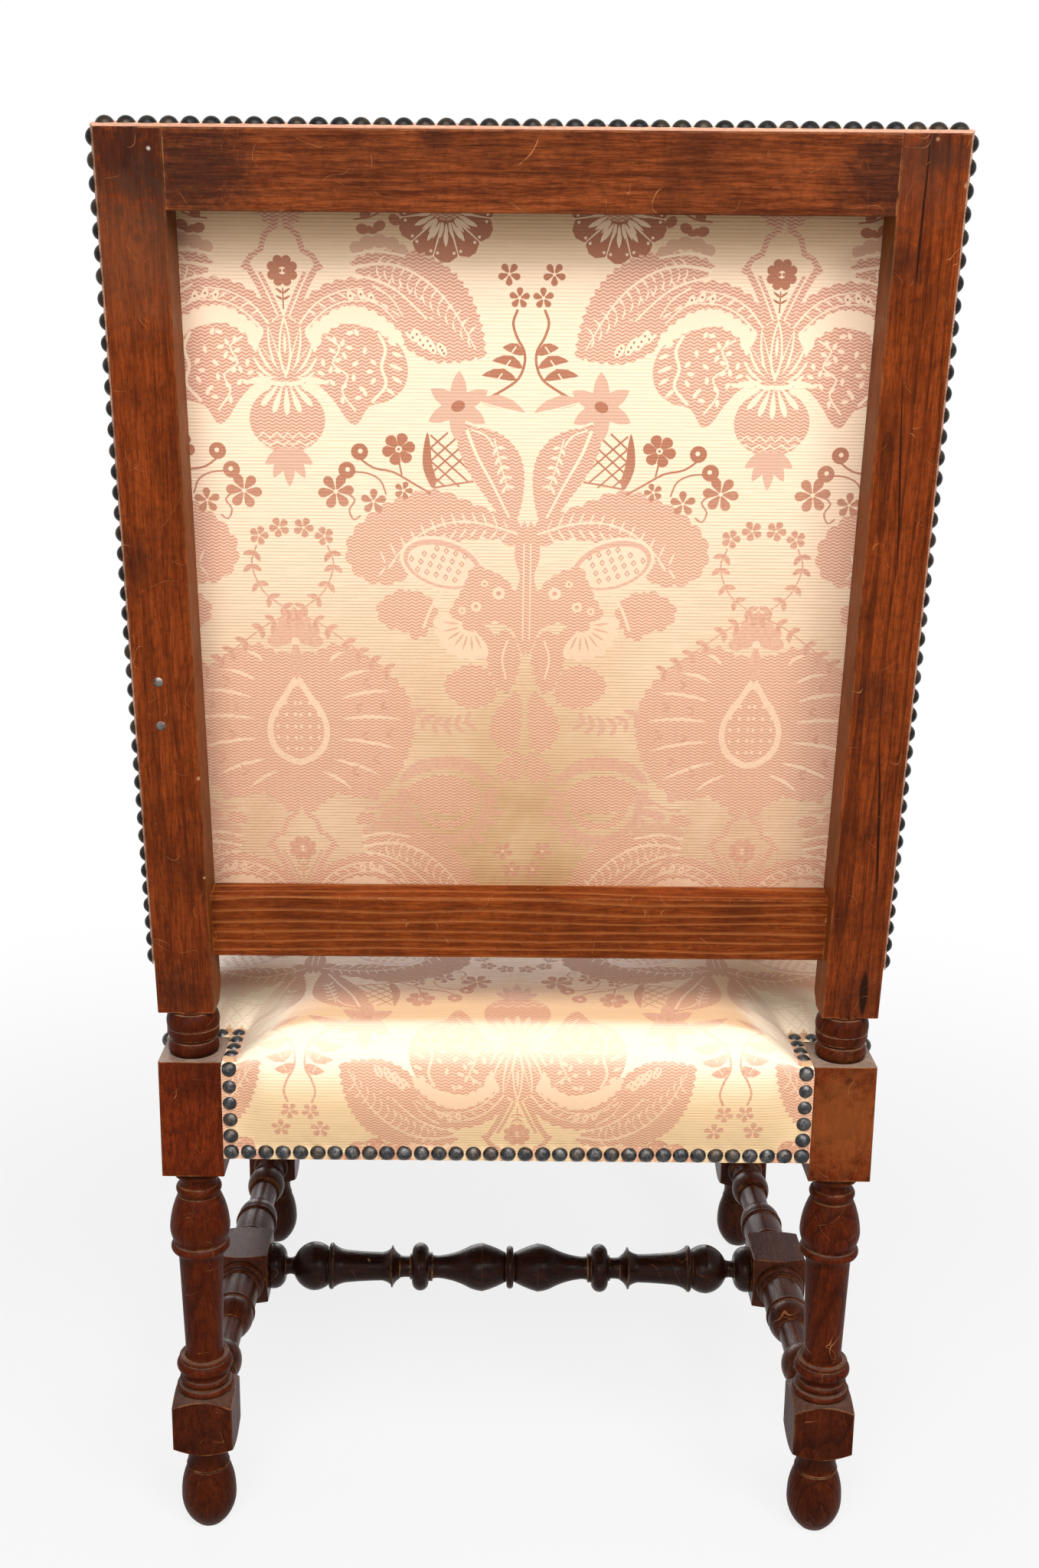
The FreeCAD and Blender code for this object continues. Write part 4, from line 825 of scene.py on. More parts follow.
def laid_out(low, high, axis, start, turned, bow=0.0, worn=False):
    """The repeat laid over a rectangle of cloth, with one of its axes at u = axis and its head at v = start.
    bow is how far the cloth was drawn out of line in the middle. A worn cloth has lost its dark threads lower
    down."""
    shapes = []
    first = int(math.floor((low[0] - axis) / HALF_REPEAT))
    last = int(math.ceil((high[0] - axis) / HALF_REPEAT))
    for column in range(first, last):
        for row in ROWS_LAID:
            for kind, outline in WORN_TILE if worn and row > 0 else TILE:
                u = outline[:, 0] if column % 2 == 0 else HALF_REPEAT - outline[:, 0]
                u = axis + column * HALF_REPEAT + u
                v = outline[:, 1] + row * REPEAT
                drawn = bow * np.maximum(1 - (u / HALF_WIDTH * MM) ** 2, 0)
                place = np.column_stack([u, start + drawn - v if turned else start + v])
                if (place.max(0) > low).all() and (place.min(0) < high).all():
                    shapes.append((kind, place))
    return shapes


def band(kind, low, high):
    """An upright rectangle of one weave."""
    (u0, v0), (u1, v1) = low, high
    return kind, np.array([(u0, v0), (u1, v0), (u1, v1), (u0, v1)], float)


def inside(points, outline):
    """Which points lie in a closed outline, by winding."""
    result = np.zeros(len(points), int)
    u, v = points[:, 0], points[:, 1]
    for (u0, v0), (u1, v1) in zip(outline, np.roll(outline, -1, axis=0)):
        side = (u1 - u0) * (v - v0) - (u - u0) * (v1 - v0)
        result += ((v0 <= v) & (v1 > v) & (side > 0)).astype(int)
        result -= ((v0 > v) & (v1 <= v) & (side < 0)).astype(int)
    return result != 0


JOINED = 0.01                # points nearer than this are one, in millimetres
LEAST_AREA = 1e-4            # of a triangle that is kept, doubled
PROBE = 0.5                  # how far the slopes of a cloth are measured, in millimetres


def as_object(name, data):
    obj = bpy.data.objects.new(name, data)
    bpy.context.scene.collection.objects.link(obj)
    return obj


def cloth(name, regions, place, shapes, grid=8.0):
    """A mesh of cloth over flat regions, cut along the outlines of its pattern. place maps flat millimetres
    to metres. Each face carries its weave, each corner its flat place."""
    points, edges = [], []

    def loop(outline):
        first = len(points)
        points.extend(Vector((float(u), float(v))) for u, v in outline)
        count = len(outline)
        edges.extend((first + i, first + (i + 1) % count) for i in range(count))

    borders = [np.array(region, float) for region in regions]
    for border in borders:
        loop(border)
    for _, outline in shapes:
        loop(outline)
    low = np.min([border.min(0) for border in borders], axis=0)
    high = np.max([border.max(0) for border in borders], axis=0)
    for u in np.arange(low[0] + 0.37, high[0], grid):
        for v in np.arange(low[1] + 0.41, high[1], grid):
            points.append(Vector((u, v)))
    flat, _, faces, _, _, _ = delaunay_2d_cdt(points, edges, [], 0, JOINED, False)
    flat = np.array([tuple(p) for p in flat])
    faces = np.array(faces)
    centres = flat[faces].mean(axis=1)
    kept = np.zeros(len(faces), bool)
    for border in borders:
        kept |= inside(centres, border)
    corners = flat[faces]
    first_side, second_side = corners[:, 1] - corners[:, 0], corners[:, 2] - corners[:, 0]
    areas = first_side[:, 0] * second_side[:, 1] - first_side[:, 1] * second_side[:, 0]
    kept &= np.abs(areas) > LEAST_AREA
    faces, centres = faces[kept], centres[kept]
    kinds = np.full(len(faces), -1)
    order = np.argsort(centres[:, 0])
    sorted_u = centres[order, 0]
    for kind, outline in shapes:
        (left, top), (right, foot) = outline.min(0), outline.max(0)
        near = order[np.searchsorted(sorted_u, left):np.searchsorted(sorted_u, right)]
        near = near[(centres[near, 1] >= top) & (centres[near, 1] <= foot)]
        if len(near):
            kinds[near[inside(centres[near], outline)]] = kind
    used, faces = np.unique(faces, return_inverse=True)
    faces = faces.reshape(-1, 3)
    flat = flat[used]
    solid = place(flat)
    along_u = place(flat + (PROBE, 0)) - place(flat - (PROBE, 0))
    along_v = place(flat + (0, PROBE)) - place(flat - (0, PROBE))
    normals = np.cross(along_u, along_v)
    normals /= np.linalg.norm(normals, axis=1)[:, None] + 1e-12
    face_normals = np.cross(solid[faces[:, 1]] - solid[faces[:, 0]], solid[faces[:, 2]] - solid[faces[:, 0]])
    flipped = np.einsum("ij,ij->i", face_normals, normals[faces[:, 0]]) < 0
    faces[flipped] = faces[flipped][:, ::-1]
    mesh = bpy.data.meshes.new(name)
    mesh.from_pydata(solid.tolist(), [], faces.tolist())
    weave = mesh.color_attributes.new("weave", "FLOAT_COLOR", "CORNER")
    table = np.zeros((len(faces), 3, 4), np.float32)
    for kind, shares in WEAVES.items():
        table[kinds == kind] = shares
    weave.data.foreach_set("color", table.ravel())
    layer = mesh.uv_layers.new(name="flat")
    layer.data.foreach_set("uv", (flat[faces.ravel()] * MM).astype(np.float32).ravel())
    mesh.polygons.foreach_set("use_smooth", np.ones(len(faces), bool))
    mesh.normals_split_custom_set_from_vertices(normals.tolist())
    return as_object(name, mesh)


RIB_PITCH = 0.0024           # metres, between two ribs of the ground
NET_PITCH = 0.0054           # metres, between two waves of the netted weave


def damask(name, fade, ground_light, ground_dark, sheen, soil_and_shade=False, painted_pad_light=False):
    """Silk damask: a ribbed cream ground, rose motifs in a netted weave, plain rose and smooth cream. fade is
    how far the motifs have paled, at the head and lower down. soil_and_shade tans and speckles the foot of an
    upright panel, partly as grime and partly as a painted falloff of the silk's sheen, and paints a golden
    sheen low in its middle and shade under its head. painted_pad_light paints shade on the sides and the flat
    top of a pad and a highlight along its crest."""
    graph = Graph(name)
    flat = graph.flat()
    u, v, _ = flat.xyz()
    shares, plain = graph.values("ShaderNodeAttribute", outputs=("Color", "Alpha"), attribute_name="weave")
    hatch, deep, pink = graph.values("ShaderNodeSeparateColor", {0: shares})

    # the weave
    long_noise = graph.noise(graph.scaled(flat, (40, 360, 1)), 1, 2)
    threads = graph.noise(graph.scaled(flat, (1600, 2600, 1)), 1, 2)
    dashes = graph.noise(graph.scaled(flat, (330, 760, 1)), 1, 3, 0.0, 0.6)
    cloud = graph.noise(flat, 9, 4, 0.3)
    weft = v * (2 * math.pi / RIB_PITCH)
    rib = weft.sine().ramp(-0.2, 0.9) * long_noise.ramp(0.20, 0.55)
    zigzag = (weft + (u * (2 * math.pi / NET_PITCH)).sine() * 1.6).sine()
    cell = zigzag.ramp(-0.35, 0.75) * dashes.ramp(0.20, 0.55, 0.65, 1.0)

    # its ageing, and painted light and shade
    paled = graph.math("ADD", v.ramp(0.14, 0.27, *fade), (cloud - 0.5) * 0.5, clamp=True)
    lost = graph.math("MULTIPLY", paled, 1.2, clamp=True)
    tints = []
    if soil_and_shade:
        # partly grime, partly a painted falloff of the silk's sheen: the panel is tanned towards its foot in
        # patches; then a painted golden sheen low in its middle, and painted shade under its head rail
        lower = v.ramp(0.14, 0.50)
        patch = graph.noise(flat, 9, 5, 0.5, 0.6).ramp(0.25, 0.70, 0.6, 1.0)
        tints = [
            (lower * patch, lin(210, 186, 158)),
            (v.ramp(0.20, 0.47) * abs(u).ramp(0.14, 0.01) * patch, lin(230, 222, 190)),
            (v.ramp(0.055, -0.01), lin(208, 182, 126)),
        ]
    if painted_pad_light:
        # painted shade: where a pad faces sideways or down it turns golden, and its flat top darker, as the
        # silk's sheen falls off there
        upward = graph.value("ShaderNodeNewGeometry", output="Normal").xyz()[2]
        tints = [
            (upward.ramp(0.40, -0.14), lin(234, 212, 176)),
            (upward.ramp(0.80, 1.0), lin(230, 194, 150)),
        ]

    def tinted(base, weight):
        for share, tint in tints:
            base = graph.mix(share * weight, base, tint, "MULTIPLY")
        return base

    # the colours of the four weaves
    rib_share = v.ramp(0.10, 0.28, 0.2, 0.42) if soil_and_shade else 0.35
    ground = tinted(graph.mix(rib * rib_share, ground_light, ground_dark), 0.6)
    worn = graph.mix(dashes.ramp(0.40, 0.60), lin(212, 158, 132), lin(230, 186, 158))
    solid = graph.mix(threads.ramp(0.35, 0.65), lin(152, 90, 62), lin(184, 122, 92))
    rose = graph.mix(threads.ramp(0.35, 0.65), lin(198, 150, 126), lin(218, 176, 151))
    cream = graph.mix(threads.ramp(0.3, 0.7), lin(232, 202, 170), lin(246, 220, 192))
    netted = graph.mix(cell, graph.mix(paled, lin(198, 140, 114), lin(208, 158, 130)),
                       graph.mix(paled, lin(230, 189, 163), lin(232, 194, 166)))
    colour = graph.mix(hatch, ground, netted)
    colour = graph.mix(deep, colour, graph.mix(lost, solid, worn))
    colour = graph.mix(pink, colour, graph.mix(paled * 0.8, rose, worn))
    colour = graph.mix(plain, colour, graph.mix(lost * 0.6, cream, lin(226, 188, 158)))
    if soil_and_shade:
        speckle = dashes.ramp(0.50, 0.60) * cloud.ramp(0.35, 0.60)
        colour = graph.mix(speckle * lower * 0.5, colour, lin(212, 158, 130))
    colour = tinted(colour, 0.4)
    if painted_pad_light:
        # painted highlight: the crest of the roll is mixed towards the pale ground, which also washes out its
        # motifs there
        crest = upward.ramp(0.30, 0.60) * upward.ramp(0.97, 0.88)
        colour = graph.mix(crest * 0.7, colour, ground_light)

    # its relief
    flat_share = graph.math("SUBTRACT", 1.0, hatch + deep, clamp=True)
    ribbed_share = graph.math("SUBTRACT", 1.0, hatch + plain, clamp=True)
    height = (1.0 - rib) * ribbed_share + cell * hatch * 1.2 + (deep + pink) * 1.1 + threads * 0.35
    return graph.finish(Base_Color=colour, Roughness=0.60 - flat_share * 0.18,
                        Normal=graph.bump(height, 0.00022, 0.55), Specular_IOR_Level=sheen)


# Pads. A pad's cloth is flat over its top and turns down at its edges; s is the way down from the turn.

def ramp01(values):
    values = np.clip(values, 0.0, 1.0)
    return values * values * (3 - 2 * values)


def softly_least(first, second, blend):
    """The lesser of two, rounded where they cross."""
    share = np.clip(0.5 + 0.5 * (second - first) / blend, 0.0, 1.0)
    return second + (first - second) * share - blend * share * (1 - share)


def waviness(points, size, seed):
    """Slow random unevenness, from -1 to 1."""
    return np.array([noise.noise((u / size + seed, v / size, seed * 0.37)) for u, v in points])


TURN = 9.0          # the top starts this far in from the pad's edge
HEM = 2.2           # the last of the cloth, which is drawn down on to the wood
BELLY = 6.0         # how far the sides of the seat swell out between their nails and the top
PAD_HALF = 277.0    # half the width of both pads
SPREAD = 34.0       # how far from its turn the top takes part in the sides' bulge
NAIL_PITCH = 13.66
NAIL_ROW_Z = 344.7
TACKED_HALF = 266.0                     # half the width that cloth and straps are tacked at on the back
TACKED_LOW, TACKED_HIGH = 58.6, 620.8   # and their lower and upper edges, up the stiles


def swell_of(edge):
    """How far a pad stands above its nailed edge, by the distance in from it."""
    edge = np.maximum(edge, 0.0)
    return 24 * (1 - np.exp(-edge / 8)) + 18 * (1 - np.exp(-edge / 65))


def rolled_edge(points):
    """A pad's section from the top's turn down its side: the way along it, the inset and the depth."""
    curve = smooth(points, False, 24)
    way = np.concatenate([[0], np.cumsum(np.linalg.norm(np.diff(curve, axis=0), axis=1))])
    return way, curve[:, 0], curve[:, 1]


def raked(points):
    """Places of the back in metres, from millimetres across, out of the stiles' rear face and up them."""
    return (points * MM) @ np.array(RAKED.to_3x3()).T + np.array(RAKED.translation)


def tightened(edge_height, least):
    """How much of a pad's full depth its sides have where its edge is lower."""
    return np.clip(edge_height / least, 0.1, 1.3)


def seat_cloth():
    """The seat's cover: its top, four sides and the nailed strips beside the rear legs."""
    half, front, rear = PAD_HALF, FRONT_FACE_Y / MM - 2, REAR_FACE_Y / MM + 2
    notch_x, notch_y = 226.4, REAR_AXIS_Y / MM - 24.45
    flange = 11.5
    base, foot = SEAT_TOP / MM, SEAT_FOOT / MM
    full = base + swell_of(TURN)
    way, inset, fall = rolled_edge([(TURN, 0), (4.2, 4.2), (1.2, 11), (-0.8, 20), (-1.5, 34), (-1.2, 56),
                                    (0, full - foot), (0, full - foot + 40)])

    def crown(points):
        x, y = np.abs(points[:, 0]), points[:, 1]
        to_side = half - x
        to_end = softly_least(y - front, rear - y, 30.0)
        edge = softly_least(to_side, to_end, 16.0)
        rise = swell_of(edge)
        away = np.hypot(np.maximum(notch_x - flange - x, 0), np.maximum(notch_y - flange - y, 0))
        pinch = 1.6 + 40 * (1 - np.exp(-away / 38.0))
        corner = np.arctan2(notch_y - 5.0 - y, notch_x - 5.0 - x)
        creases = 0.7 * np.cos(corner * 8.0) * np.exp(-away / 16.0) * ramp01(away / 10.0)
        to_notch = np.hypot(np.maximum(notch_x - x, 0), np.maximum(notch_y - y, 0))
        hem = 1.3 * (1 - ramp01(to_notch / HEM))
        wave = 1.0 * waviness(points, 70.0, 3.1) * ramp01((edge - 12) / 60)
        return base + softly_least(rise + wave, pinch, 6.0) + creases - hem

    top_limit = half - TURN

    def place(points):
        u, v = points[:, 0], points[:, 1]
        x = np.clip(u, -top_limit, top_limit)
        y = np.clip(v, front + TURN, rear - TURN)
        over_x, over_y = np.abs(u) - np.abs(x), np.abs(v - y)
        s = over_x + over_y
        edge_height = crown(np.column_stack([x, y]))
        inwards = np.interp(s, way, inset)
        down = np.interp(s, way, fall)
        above = full - (base - 4.0)
        tight = tightened(edge_height - (base - 4.0), above)
        z = np.where(down < above, edge_height - down * tight, (base - 4.0) - (down - above))
        on_side = s > 0
        z = np.where(on_side, np.maximum(z, foot), edge_height)
        reach = np.where(on_side, inwards, 0.0)
        flat_near = 1 - ramp01((edge_height - base) / 14.0)
        flatter = np.minimum(reach, TURN * np.exp(-s / 2.5))
        reach = np.where(on_side, reach * (1 - flat_near) + flatter * flat_near, 0)
        clear = np.where(v > rear - TURN, notch_x - x * np.sign(x), np.where(over_x > 0, notch_y - y, 100.0))
        belly = np.sin(math.pi * np.clip((down - 4.0) / 80.0, 0, 1)) * ramp01((clear - 9.0) / 30.0)
        reach = reach - BELLY * belly * on_side
        rows = np.exp(-np.abs(z - NAIL_ROW_Z) / 7.0) * on_side
        pucker = 0.45 * rows * np.cos((u + v) * 2 * math.pi / NAIL_PITCH)
        out = TURN - reach + pucker
        swell = ramp01((np.abs(x) - (top_limit - SPREAD)) / SPREAD) * (TURN - reach)
        swell_y = ramp01((front + TURN + SPREAD - y) / SPREAD) * (TURN - reach)
        side_x, side_y = over_x > 0, over_y > 0
        sign = np.sign(u)
        px = np.where(side_x, sign * (top_limit + out), np.where(side_y & (v < 0), x + sign * swell, x))
        py = np.where(side_y, np.where(v < y, front + TURN - out, rear - TURN + out),
                      np.where(side_x, y - swell_y, y))
        return np.column_stack([px, py, z]) * MM

    deep = (base + 20.0) - foot + 1.0
    x0, x1, y0, y1 = -top_limit, top_limit, front + TURN, rear - TURN
    regions = [
        [(-notch_x, notch_y), (x0, notch_y), (x0, y0), (x1, y0), (x1, notch_y), (notch_x, notch_y),
         (notch_x, y1), (-notch_x, y1)],
        [(x0, y0), (x0, y0 - deep), (x1, y0 - deep), (x1, y0)],
        [(-notch_x, y1), (notch_x, y1), (notch_x, y1 + deep), (-notch_x, y1 + deep)],
        [(x0, y0), (x0 - deep, y0), (x0 - deep, notch_y), (x0, notch_y)],
        [(x1, y0), (x1, notch_y), (x1 + deep, notch_y), (x1 + deep, y0)],
    ]
    low, high = np.array([x0 - deep, y0 - deep]), np.array([x1 + deep, y1 + deep])
    shapes = laid_out(low, high, HALF_REPEAT, rear + 100.0, True, 9.0)
    shapes += [
        band(GROUND, (notch_x - HEM, notch_y - HEM), (notch_x, y1)),
        band(GROUND, (-notch_x, notch_y - HEM), (HEM - notch_x, y1)),
        band(GROUND, (notch_x, notch_y - HEM), (x1, notch_y)),
        band(GROUND, (x0, notch_y - HEM), (-notch_x, notch_y)),
    ]
    obj = cloth("seat_damask", regions, place, shapes)
    # the seat's silk gets painted shade on its sides and flat top and a painted highlight along its crest
    put(obj, damask("seat_silk", (0.68, 0.68), lin(248, 230, 202), lin(216, 186, 148), 0.25, painted_pad_light=True))
    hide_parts("seat_cover", "seat_stuffing")
    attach(obj, "root")


def back_cloth():
    """The front pad of the back: its face, the turned sides and top, and the nailed strip at its foot."""
    half, top, foot_edge = PAD_HALF, STILE_LENGTH / MM + 2, 41.9
    flange = 13.4
    full = swell_of(TURN)
    way, inset, fall = rolled_edge([(TURN, 0), (4.2, 4.2), (1.2, 11), (0, 20), (0, 36), (0, 56), (0, 96)])

    def crown(points):
        x, z = np.abs(points[:, 0]), points[:, 1]
        edge = softly_least(half - x, softly_least(top - z, z - foot_edge - flange, 30.0), 16.0)
        wave = 1.0 * waviness(points, 80.0, 7.7) * ramp01((edge - 12) / 60)
        hem = 1.7 * (1 - ramp01((z - foot_edge) / HEM))
        return np.where(edge > 0, np.maximum(swell_of(edge) + wave, 2.0), 2.0) - hem

    top_limit = half - TURN
    deep = 58.0

    def place(points):
        u, v = points[:, 0], points[:, 1]
        x = np.clip(u, -top_limit, top_limit)
        z = np.minimum(v, top - TURN)
        over_x, over_z = np.abs(u) - np.abs(x), v - z
        s = over_x + over_z
        edge_height = crown(np.column_stack([x, z]))
        reach = np.where(s > 0, np.interp(s, way, inset) + 1.8 * ramp01((s - deep + HEM) / HEM), TURN)
        tight = tightened(edge_height, full)
        down = np.interp(s, way, fall)
        depth = np.where(down < full, edge_height - down * tight, (full - down) + edge_height - full * tight)
        swell = ramp01((np.abs(x) - (top_limit - SPREAD)) / SPREAD) * (TURN - reach)
        swell_z = ramp01((z - (top - TURN - SPREAD)) / SPREAD) * (TURN - reach)
        sign = np.sign(u)
        px = np.where(over_z > 0, x + sign * swell, x)
        px = np.where(over_x > 0, sign * (top_limit + TURN - reach), px)
        pz = np.where(over_z > 0, top - reach, np.where(over_x > 0, z + swell_z, z))
        return raked(np.column_stack([px, -STILE_DEPTH / MM - depth, pz]))

    x0, x1 = -top_limit, top_limit
    regions = [
        [(x0, foot_edge), (x1, foot_edge), (x1, top - TURN), (x0, top - TURN)],
        [(x0, top - TURN), (x1, top - TURN), (x1, top - TURN + deep), (x0, top - TURN + deep)],
        [(x0, foot_edge), (x0, top - TURN), (x0 - deep, top - TURN), (x0 - deep, foot_edge)],
        [(x1, foot_edge), (x1 + deep, foot_edge), (x1 + deep, top - TURN), (x1, top - TURN)],
    ]
    low, high = np.array([x0 - deep, foot_edge]), np.array([x1 + deep, top - TURN + deep])
    shapes = laid_out(low, high, HALF_REPEAT, top - 30.0, True)
    # painted shade: the last of the cloth at each edge, where it runs under the nail heads, is given the dark
    # solid weave
    shapes += [
        band(DEEP, (x0, foot_edge), (x1, foot_edge + HEM)),
        band(DEEP, (x0, top - TURN + deep - HEM), (x1, top - TURN + deep)),
        band(DEEP, (x0 - deep, foot_edge), (x0 - deep + HEM, top - TURN)),
        band(DEEP, (x1 + deep - HEM, foot_edge), (x1 + deep, top - TURN)),
    ]
    obj = cloth("back_damask", regions, place, shapes)
    put(obj, damask("back_silk", (0.35, 0.35), lin(236, 204, 166), lin(192, 150, 108), 0.6))
    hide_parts("back_cover", "back_stuffing")
    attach(obj, "root")


def rear_panel():
    """The damask stretched in the rear of the back, seen through the frame."""
    head = STILE_LENGTH / MM - 50.2

    def place(points):
        u, v = points[:, 0], points[:, 1]
        z = head - v
        clear = ramp01((232 - np.abs(u)) / 20) * ramp01((v + 2) / 20)
        sag = 0.35 + 0.35 * waviness(points, 60.0, 5.3) * clear
        return raked(np.column_stack([-u, -STILE_DEPTH / MM - sag, z]))

    low, high = np.array([-TACKED_HALF, head - TACKED_HIGH]), np.array([TACKED_HALF, head - TACKED_LOW])
    region = [low, (high[0], low[1]), high, (low[0], high[1])]
    shapes = laid_out(low, high, 2.0, 0.0, False, worn=True)
    obj = cloth("rear_panel_damask", [region], place, shapes, 12.0)
    # the panel is tanned towards its foot, partly as grime and partly as a painted falloff of the sheen, with
    # a painted golden sheen and painted shade under its head
    put(obj, damask("panel_silk", (0.0, 0.62), lin(242, 214, 184), lin(180, 144, 106), 0.4, True))
    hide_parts("back_panel_cloth")
    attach(obj, "root")


# Straps and sacking inside

STRAP = 50.0
STRAP_THICKNESS = 1.2
STRAP_EASE = 6.0
STRAP_STEP = 5.0             # millimetres between the rows of a strap's mesh
SEAT_WEB_BED = 415.7
BACK_WEB_BED = 1.0
SEAT_NOTCH_X, SEAT_NOTCH_Y = 211.3, 153.5


def lanes(low, high, count):
    """The middles of straps that share a width evenly."""
    pitch = (high - low) / count
    return [low + (index + 0.5) * pitch for index in range(count)]


def woven_straps(name, frame_of, ends, own_lanes, crossings, first_level, material):
    """Straps laid side by side, each passing over and under the straps that it crosses. frame_of maps places
    along a strap, across it and up from its bed, in millimetres, to metres."""
    verts, faces, flats = [], [], []
    across = np.linspace(-STRAP / 2, STRAP / 2, 7)
    reach = STRAP / 2 + STRAP_EASE
    for number, lane in enumerate(own_lanes):
        along = np.linspace(ends[0], ends[1], int((ends[1] - ends[0]) / STRAP_STEP))
        lift = np.zeros(len(along))
        for row, crossing in enumerate(crossings):
            over = (number + row + first_level) % 2
            lift += over * ramp01((reach - np.abs(along - crossing)) / (2 * STRAP_EASE) + 0.5)
        lift = np.clip(lift, 0, 1) * STRAP_THICKNESS
        first = len(verts)
        for up in (0.0, STRAP_THICKNESS * 0.9):
            for place, height in zip(along, lift):
                for shift in across:
                    verts.append(frame_of(place, lane + shift, height + up))
                    flats.append((shift * MM, place * MM))
        rows, columns = len(along), len(across)

        def at(side, i, j):
            return first + (side * rows + i) * columns + j

        for i in range(rows - 1):
            for j in range(columns - 1):
                faces.append((at(0, i, j), at(0, i, j + 1), at(0, i + 1, j + 1), at(0, i + 1, j)))
                faces.append((at(1, i, j), at(1, i + 1, j), at(1, i + 1, j + 1), at(1, i, j + 1)))
            for j in (0, columns - 1):
                faces.append((at(0, i, j), at(0, i + 1, j), at(1, i + 1, j), at(1, i, j)))
        for i in (0, rows - 1):
            for j in range(columns - 1):
                faces.append((at(0, i, j), at(1, i, j), at(1, i, j + 1), at(0, i, j + 1)))
    mesh = bpy.data.meshes.new(name)
    mesh.from_pydata(verts, [], faces)
    layer = mesh.uv_layers.new(name="flat")
    for loop in mesh.loops:
        layer.data[loop.index].uv = flats[loop.vertex_index]
    mesh.update()
    obj = as_object(name, mesh)
    put(obj, material)
    return obj


def webbing_material():
    """Jute webbing: a twill in natural tan with a dark stripe near each edge."""
    graph = Graph("jute_webbing")
    flat = graph.flat()
    u, v, _ = flat.xyz()
    slant = ((u + v) * 2400).sine()
    yarn = graph.noise(graph.scaled(flat, (900, 160, 1)), 1, 3)
    colour = graph.mix(slant.ramp(-0.6, 0.8), lin(126, 98, 66), lin(182, 152, 112))
    colour = graph.mix(yarn.ramp(0.4, 0.7, 0.0, 0.5), colour, lin(106, 80, 54))
    stripe = abs(u).ramp(0.0165, 0.0175) * abs(u).ramp(0.0205, 0.0195)
    colour = graph.mix(stripe * 0.8, colour, lin(84, 44, 36))
    return graph.finish(Base_Color=colour, Roughness=yarn.ramp(0.3, 0.7, 0.8, 0.95),
                        Normal=graph.bump(slant + yarn * 1.5, 0.0003, 0.5))


def hessian_material():
    """Open plain-woven sacking."""
    graph = Graph("hessian")
    flat = graph.flat()
    u, v, _ = flat.xyz()
    bend = graph.noise(flat, 300, 2) * 2.5
    weave = (u * 3900 + bend).sine() * (v * 3900 + bend).sine()
    slubs = graph.noise(graph.scaled(flat, (60, 700, 1)), 1, 3)
    colour = graph.mix(weave.ramp(-0.7, 0.7), lin(128, 100, 64), lin(184, 154, 110))
    colour = graph.mix(slubs.ramp(0.5, 0.75, 0.0, 0.5), colour, lin(202, 176, 134))
    return graph.finish(Base_Color=colour, Roughness=slubs.ramp(0.3, 0.7, 0.85, 0.95),
                        Normal=graph.bump(weave, 0.0005, 0.6))


def on_back(x, z, out):
    """A place of the back: across, up the stiles, and out of the stiles' front face, in millimetres."""
    return RAKED @ (Vector((x, -STILE_DEPTH / MM - out, z)) * MM)


def straps():
    jute = webbing_material()
    seat_x = lanes(-SEAT_NOTCH_X, SEAT_NOTCH_X, 5)
    seat_y = lanes(FRONT_FACE_Y / MM + 25, SEAT_NOTCH_Y, 5)
    back_x = lanes(-232, 232, 4)
    back_z = lanes(92.6, 586.8, 5)
    groups = [
        ("seat_straps_long", "seat_webbing_long", lambda a, c, h: (c * MM, a * MM, (SEAT_WEB_BED + h) * MM),
         (-290.9, 208.2), seat_x, seat_y, 0),
        ("seat_straps_cross", "seat_webbing_cross", lambda a, c, h: (a * MM, c * MM, (SEAT_WEB_BED + h) * MM),
         (-TACKED_HALF, TACKED_HALF), seat_y, seat_x, 1),
        ("back_straps_upright", "back_webbing_upright", lambda a, c, h: on_back(c, a, BACK_WEB_BED + h),
         (TACKED_LOW, TACKED_HIGH), back_x, back_z, 0),
        ("back_straps_cross", "back_webbing_cross", lambda a, c, h: on_back(a, c, BACK_WEB_BED + h),
         (-TACKED_HALF, TACKED_HALF), back_z, back_x, 1),
    ]
    for name, node, frame_of, ends, own, crossings, level in groups:
        obj = woven_straps(name, frame_of, ends, own, crossings, level, jute)
        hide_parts(node)
        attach(obj, "root")


def sacking():
    material = hessian_material()
    low_y, high_y = -299.3, 216.6
    notch_x, notch_y = SEAT_NOTCH_X - 4.0, SEAT_NOTCH_Y - 4.0
    seat = [(-274.4, low_y), (274.4, low_y), (274.4, notch_y), (notch_x, notch_y), (notch_x, high_y),
            (-notch_x, high_y), (-notch_x, notch_y), (-274.4, notch_y)]
    back = [(-274.2, 58.1), (274.2, 58.1), (274.2, 636.0), (-274.2, 636.0)]

    def on_seat(points):
        return np.column_stack([points, np.full(len(points), SEAT_WEB_BED + 2.8)]) * MM

    def on_straps(points):
        out = np.full(len(points), -STILE_DEPTH / MM - 3.9)
        return raked(np.column_stack([points[:, 0], out, points[:, 1]]))

    for name, node, region, place, bearers in (
            ("seat_sacking", "seat_hessian", seat, on_seat, ["seat_straps_long", "seat_straps_cross"]),
            ("back_sacking", "back_hessian", back, on_straps, ["back_straps_upright", "back_straps_cross"])):
        obj = cloth(name, [region], place, [], 12.0)
        put(obj, material)
        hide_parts(node)
        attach(obj, "root")


# Camera, lights and floor

PICTURE_HEIGHT = 2048        # pixels, which the camera was fitted in
SENSOR = 36.0
FLOOR_REACH = 30.0


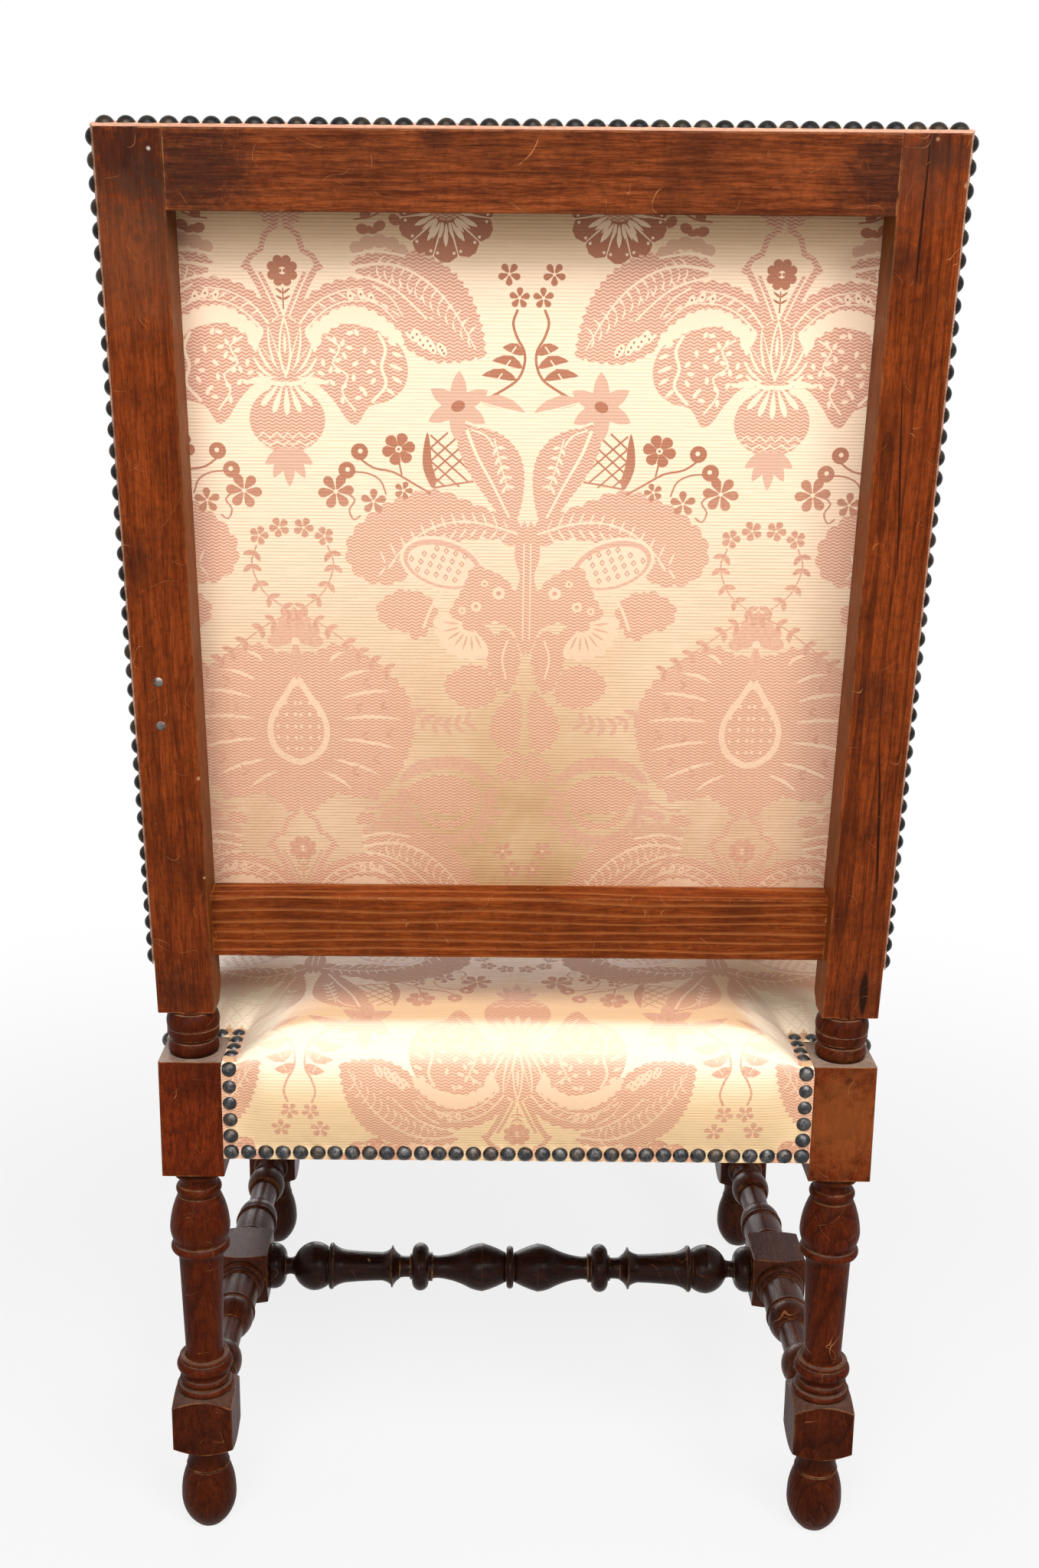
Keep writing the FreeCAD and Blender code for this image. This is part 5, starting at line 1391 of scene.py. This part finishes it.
def camera():
    data = bpy.data.cameras.new("camera")
    obj = as_object("camera", data)
    data.sensor_fit = "AUTO"
    data.sensor_width = SENSOR
    data.lens = 2315.95 / PICTURE_HEIGHT * SENSOR
    data.shift_x = 39.36 / PICTURE_HEIGHT
    data.shift_y = -20.94 / PICTURE_HEIGHT
    data.clip_start = 0.01
    data.clip_end = 100.0
    pitch, yaw, roll = math.radians(-13.99), math.radians(0.03), math.radians(0.48)
    heading_of_lens = Matrix.Rotation(math.pi - yaw, 4, "Z") @ Matrix.Rotation(math.pi / 2 + pitch, 4, "X")
    stand = Matrix.Translation((0.02419, REAR_AXIS_Y + 1.28329, 0.96501))
    obj.matrix_world = stand @ heading_of_lens @ Matrix.Rotation(roll, 4, "Z")
    bpy.context.scene.camera = obj


def lamp(name, place, target, size, power):
    data = bpy.data.lights.new(name, "AREA")
    data.shape = "RECTANGLE"
    data.size, data.size_y = size
    data.energy = power
    obj = as_object(name, data)
    obj.location = place
    obj.rotation_mode = "QUATERNION"
    obj.rotation_quaternion = (Vector(target) - Vector(place)).to_track_quat("-Z", "Y")


def seen_by_lens(graph):
    """1 for rays seen directly, in a reflection or through a clear piece."""
    direct, glossy, clear = graph.values("ShaderNodeLightPath", outputs=(
        "Is Camera Ray", "Is Glossy Ray", "Is Transmission Ray"))
    return graph.math("ADD", direct + glossy, clear, clamp=True)


def studio():
    """A white world that lights the chair softly, a pale floor that keeps its shadow, and four lamps."""
    scene = bpy.context.scene
    scene.view_settings.view_transform = "Standard"
    sky = Graph("studio", bpy.data.worlds)
    scene.world = sky.owner
    seen = sky.value("ShaderNodeBackground", {"Color": WHITE, "Strength": 1.0})
    soft = sky.value("ShaderNodeBackground", {"Color": WHITE, "Strength": 0.15})
    surface = sky.value("ShaderNodeMixShader", {0: seen_by_lens(sky), 1: soft, 2: seen})
    sky.node("ShaderNodeOutputWorld", {"Surface": surface})

    mesh = bpy.data.meshes.new("floor")
    r = FLOOR_REACH
    mesh.from_pydata([(-r, -r, 0), (r, -r, 0), (r, r, 0), (-r, r, 0)], [], [(0, 1, 2, 3)])
    floor = as_object("floor", mesh)
    graph = Graph("floor")
    pale = graph.value("ShaderNodeBsdfDiffuse", {"Color": (0.62, 0.62, 0.62, 1)})
    glow = graph.value("ShaderNodeEmission", {"Color": WHITE, "Strength": 1.0})
    away = graph.vector("LENGTH", graph.place(), (0, 0, 0))
    share = seen_by_lens(graph) * away.ramp(0.5, 1.6, 0.82, 1.0)
    surface = graph.value("ShaderNodeMixShader", {0: share, 1: pale, 2: glow})
    graph.node("ShaderNodeOutputMaterial", {"Surface": surface})
    put(floor, graph.owner)

    lamp("key", (-1.5, 2.0, 2.0), (0, 0.1, 0.6), (0.8, 0.8), 30)
    lamp("fill", (0.9, 2.6, 1.5), (0, 0.1, 0.5), (1.1, 1.3), 21)
    lamp("front", (0.4, -2.7, 0.9), (0, 0, 0.6), (1.8, 1.3), 34)
    lamp("top", (0.0, 1.65, 2.4), (0, 0.2, 0.5), (1.5, 0.9), 50)


dress_wood()
dress_metal()
seat_cloth()
back_cloth()
rear_panel()
straps()
sacking()
camera()
studio()

bpy.context.view_layer.update()
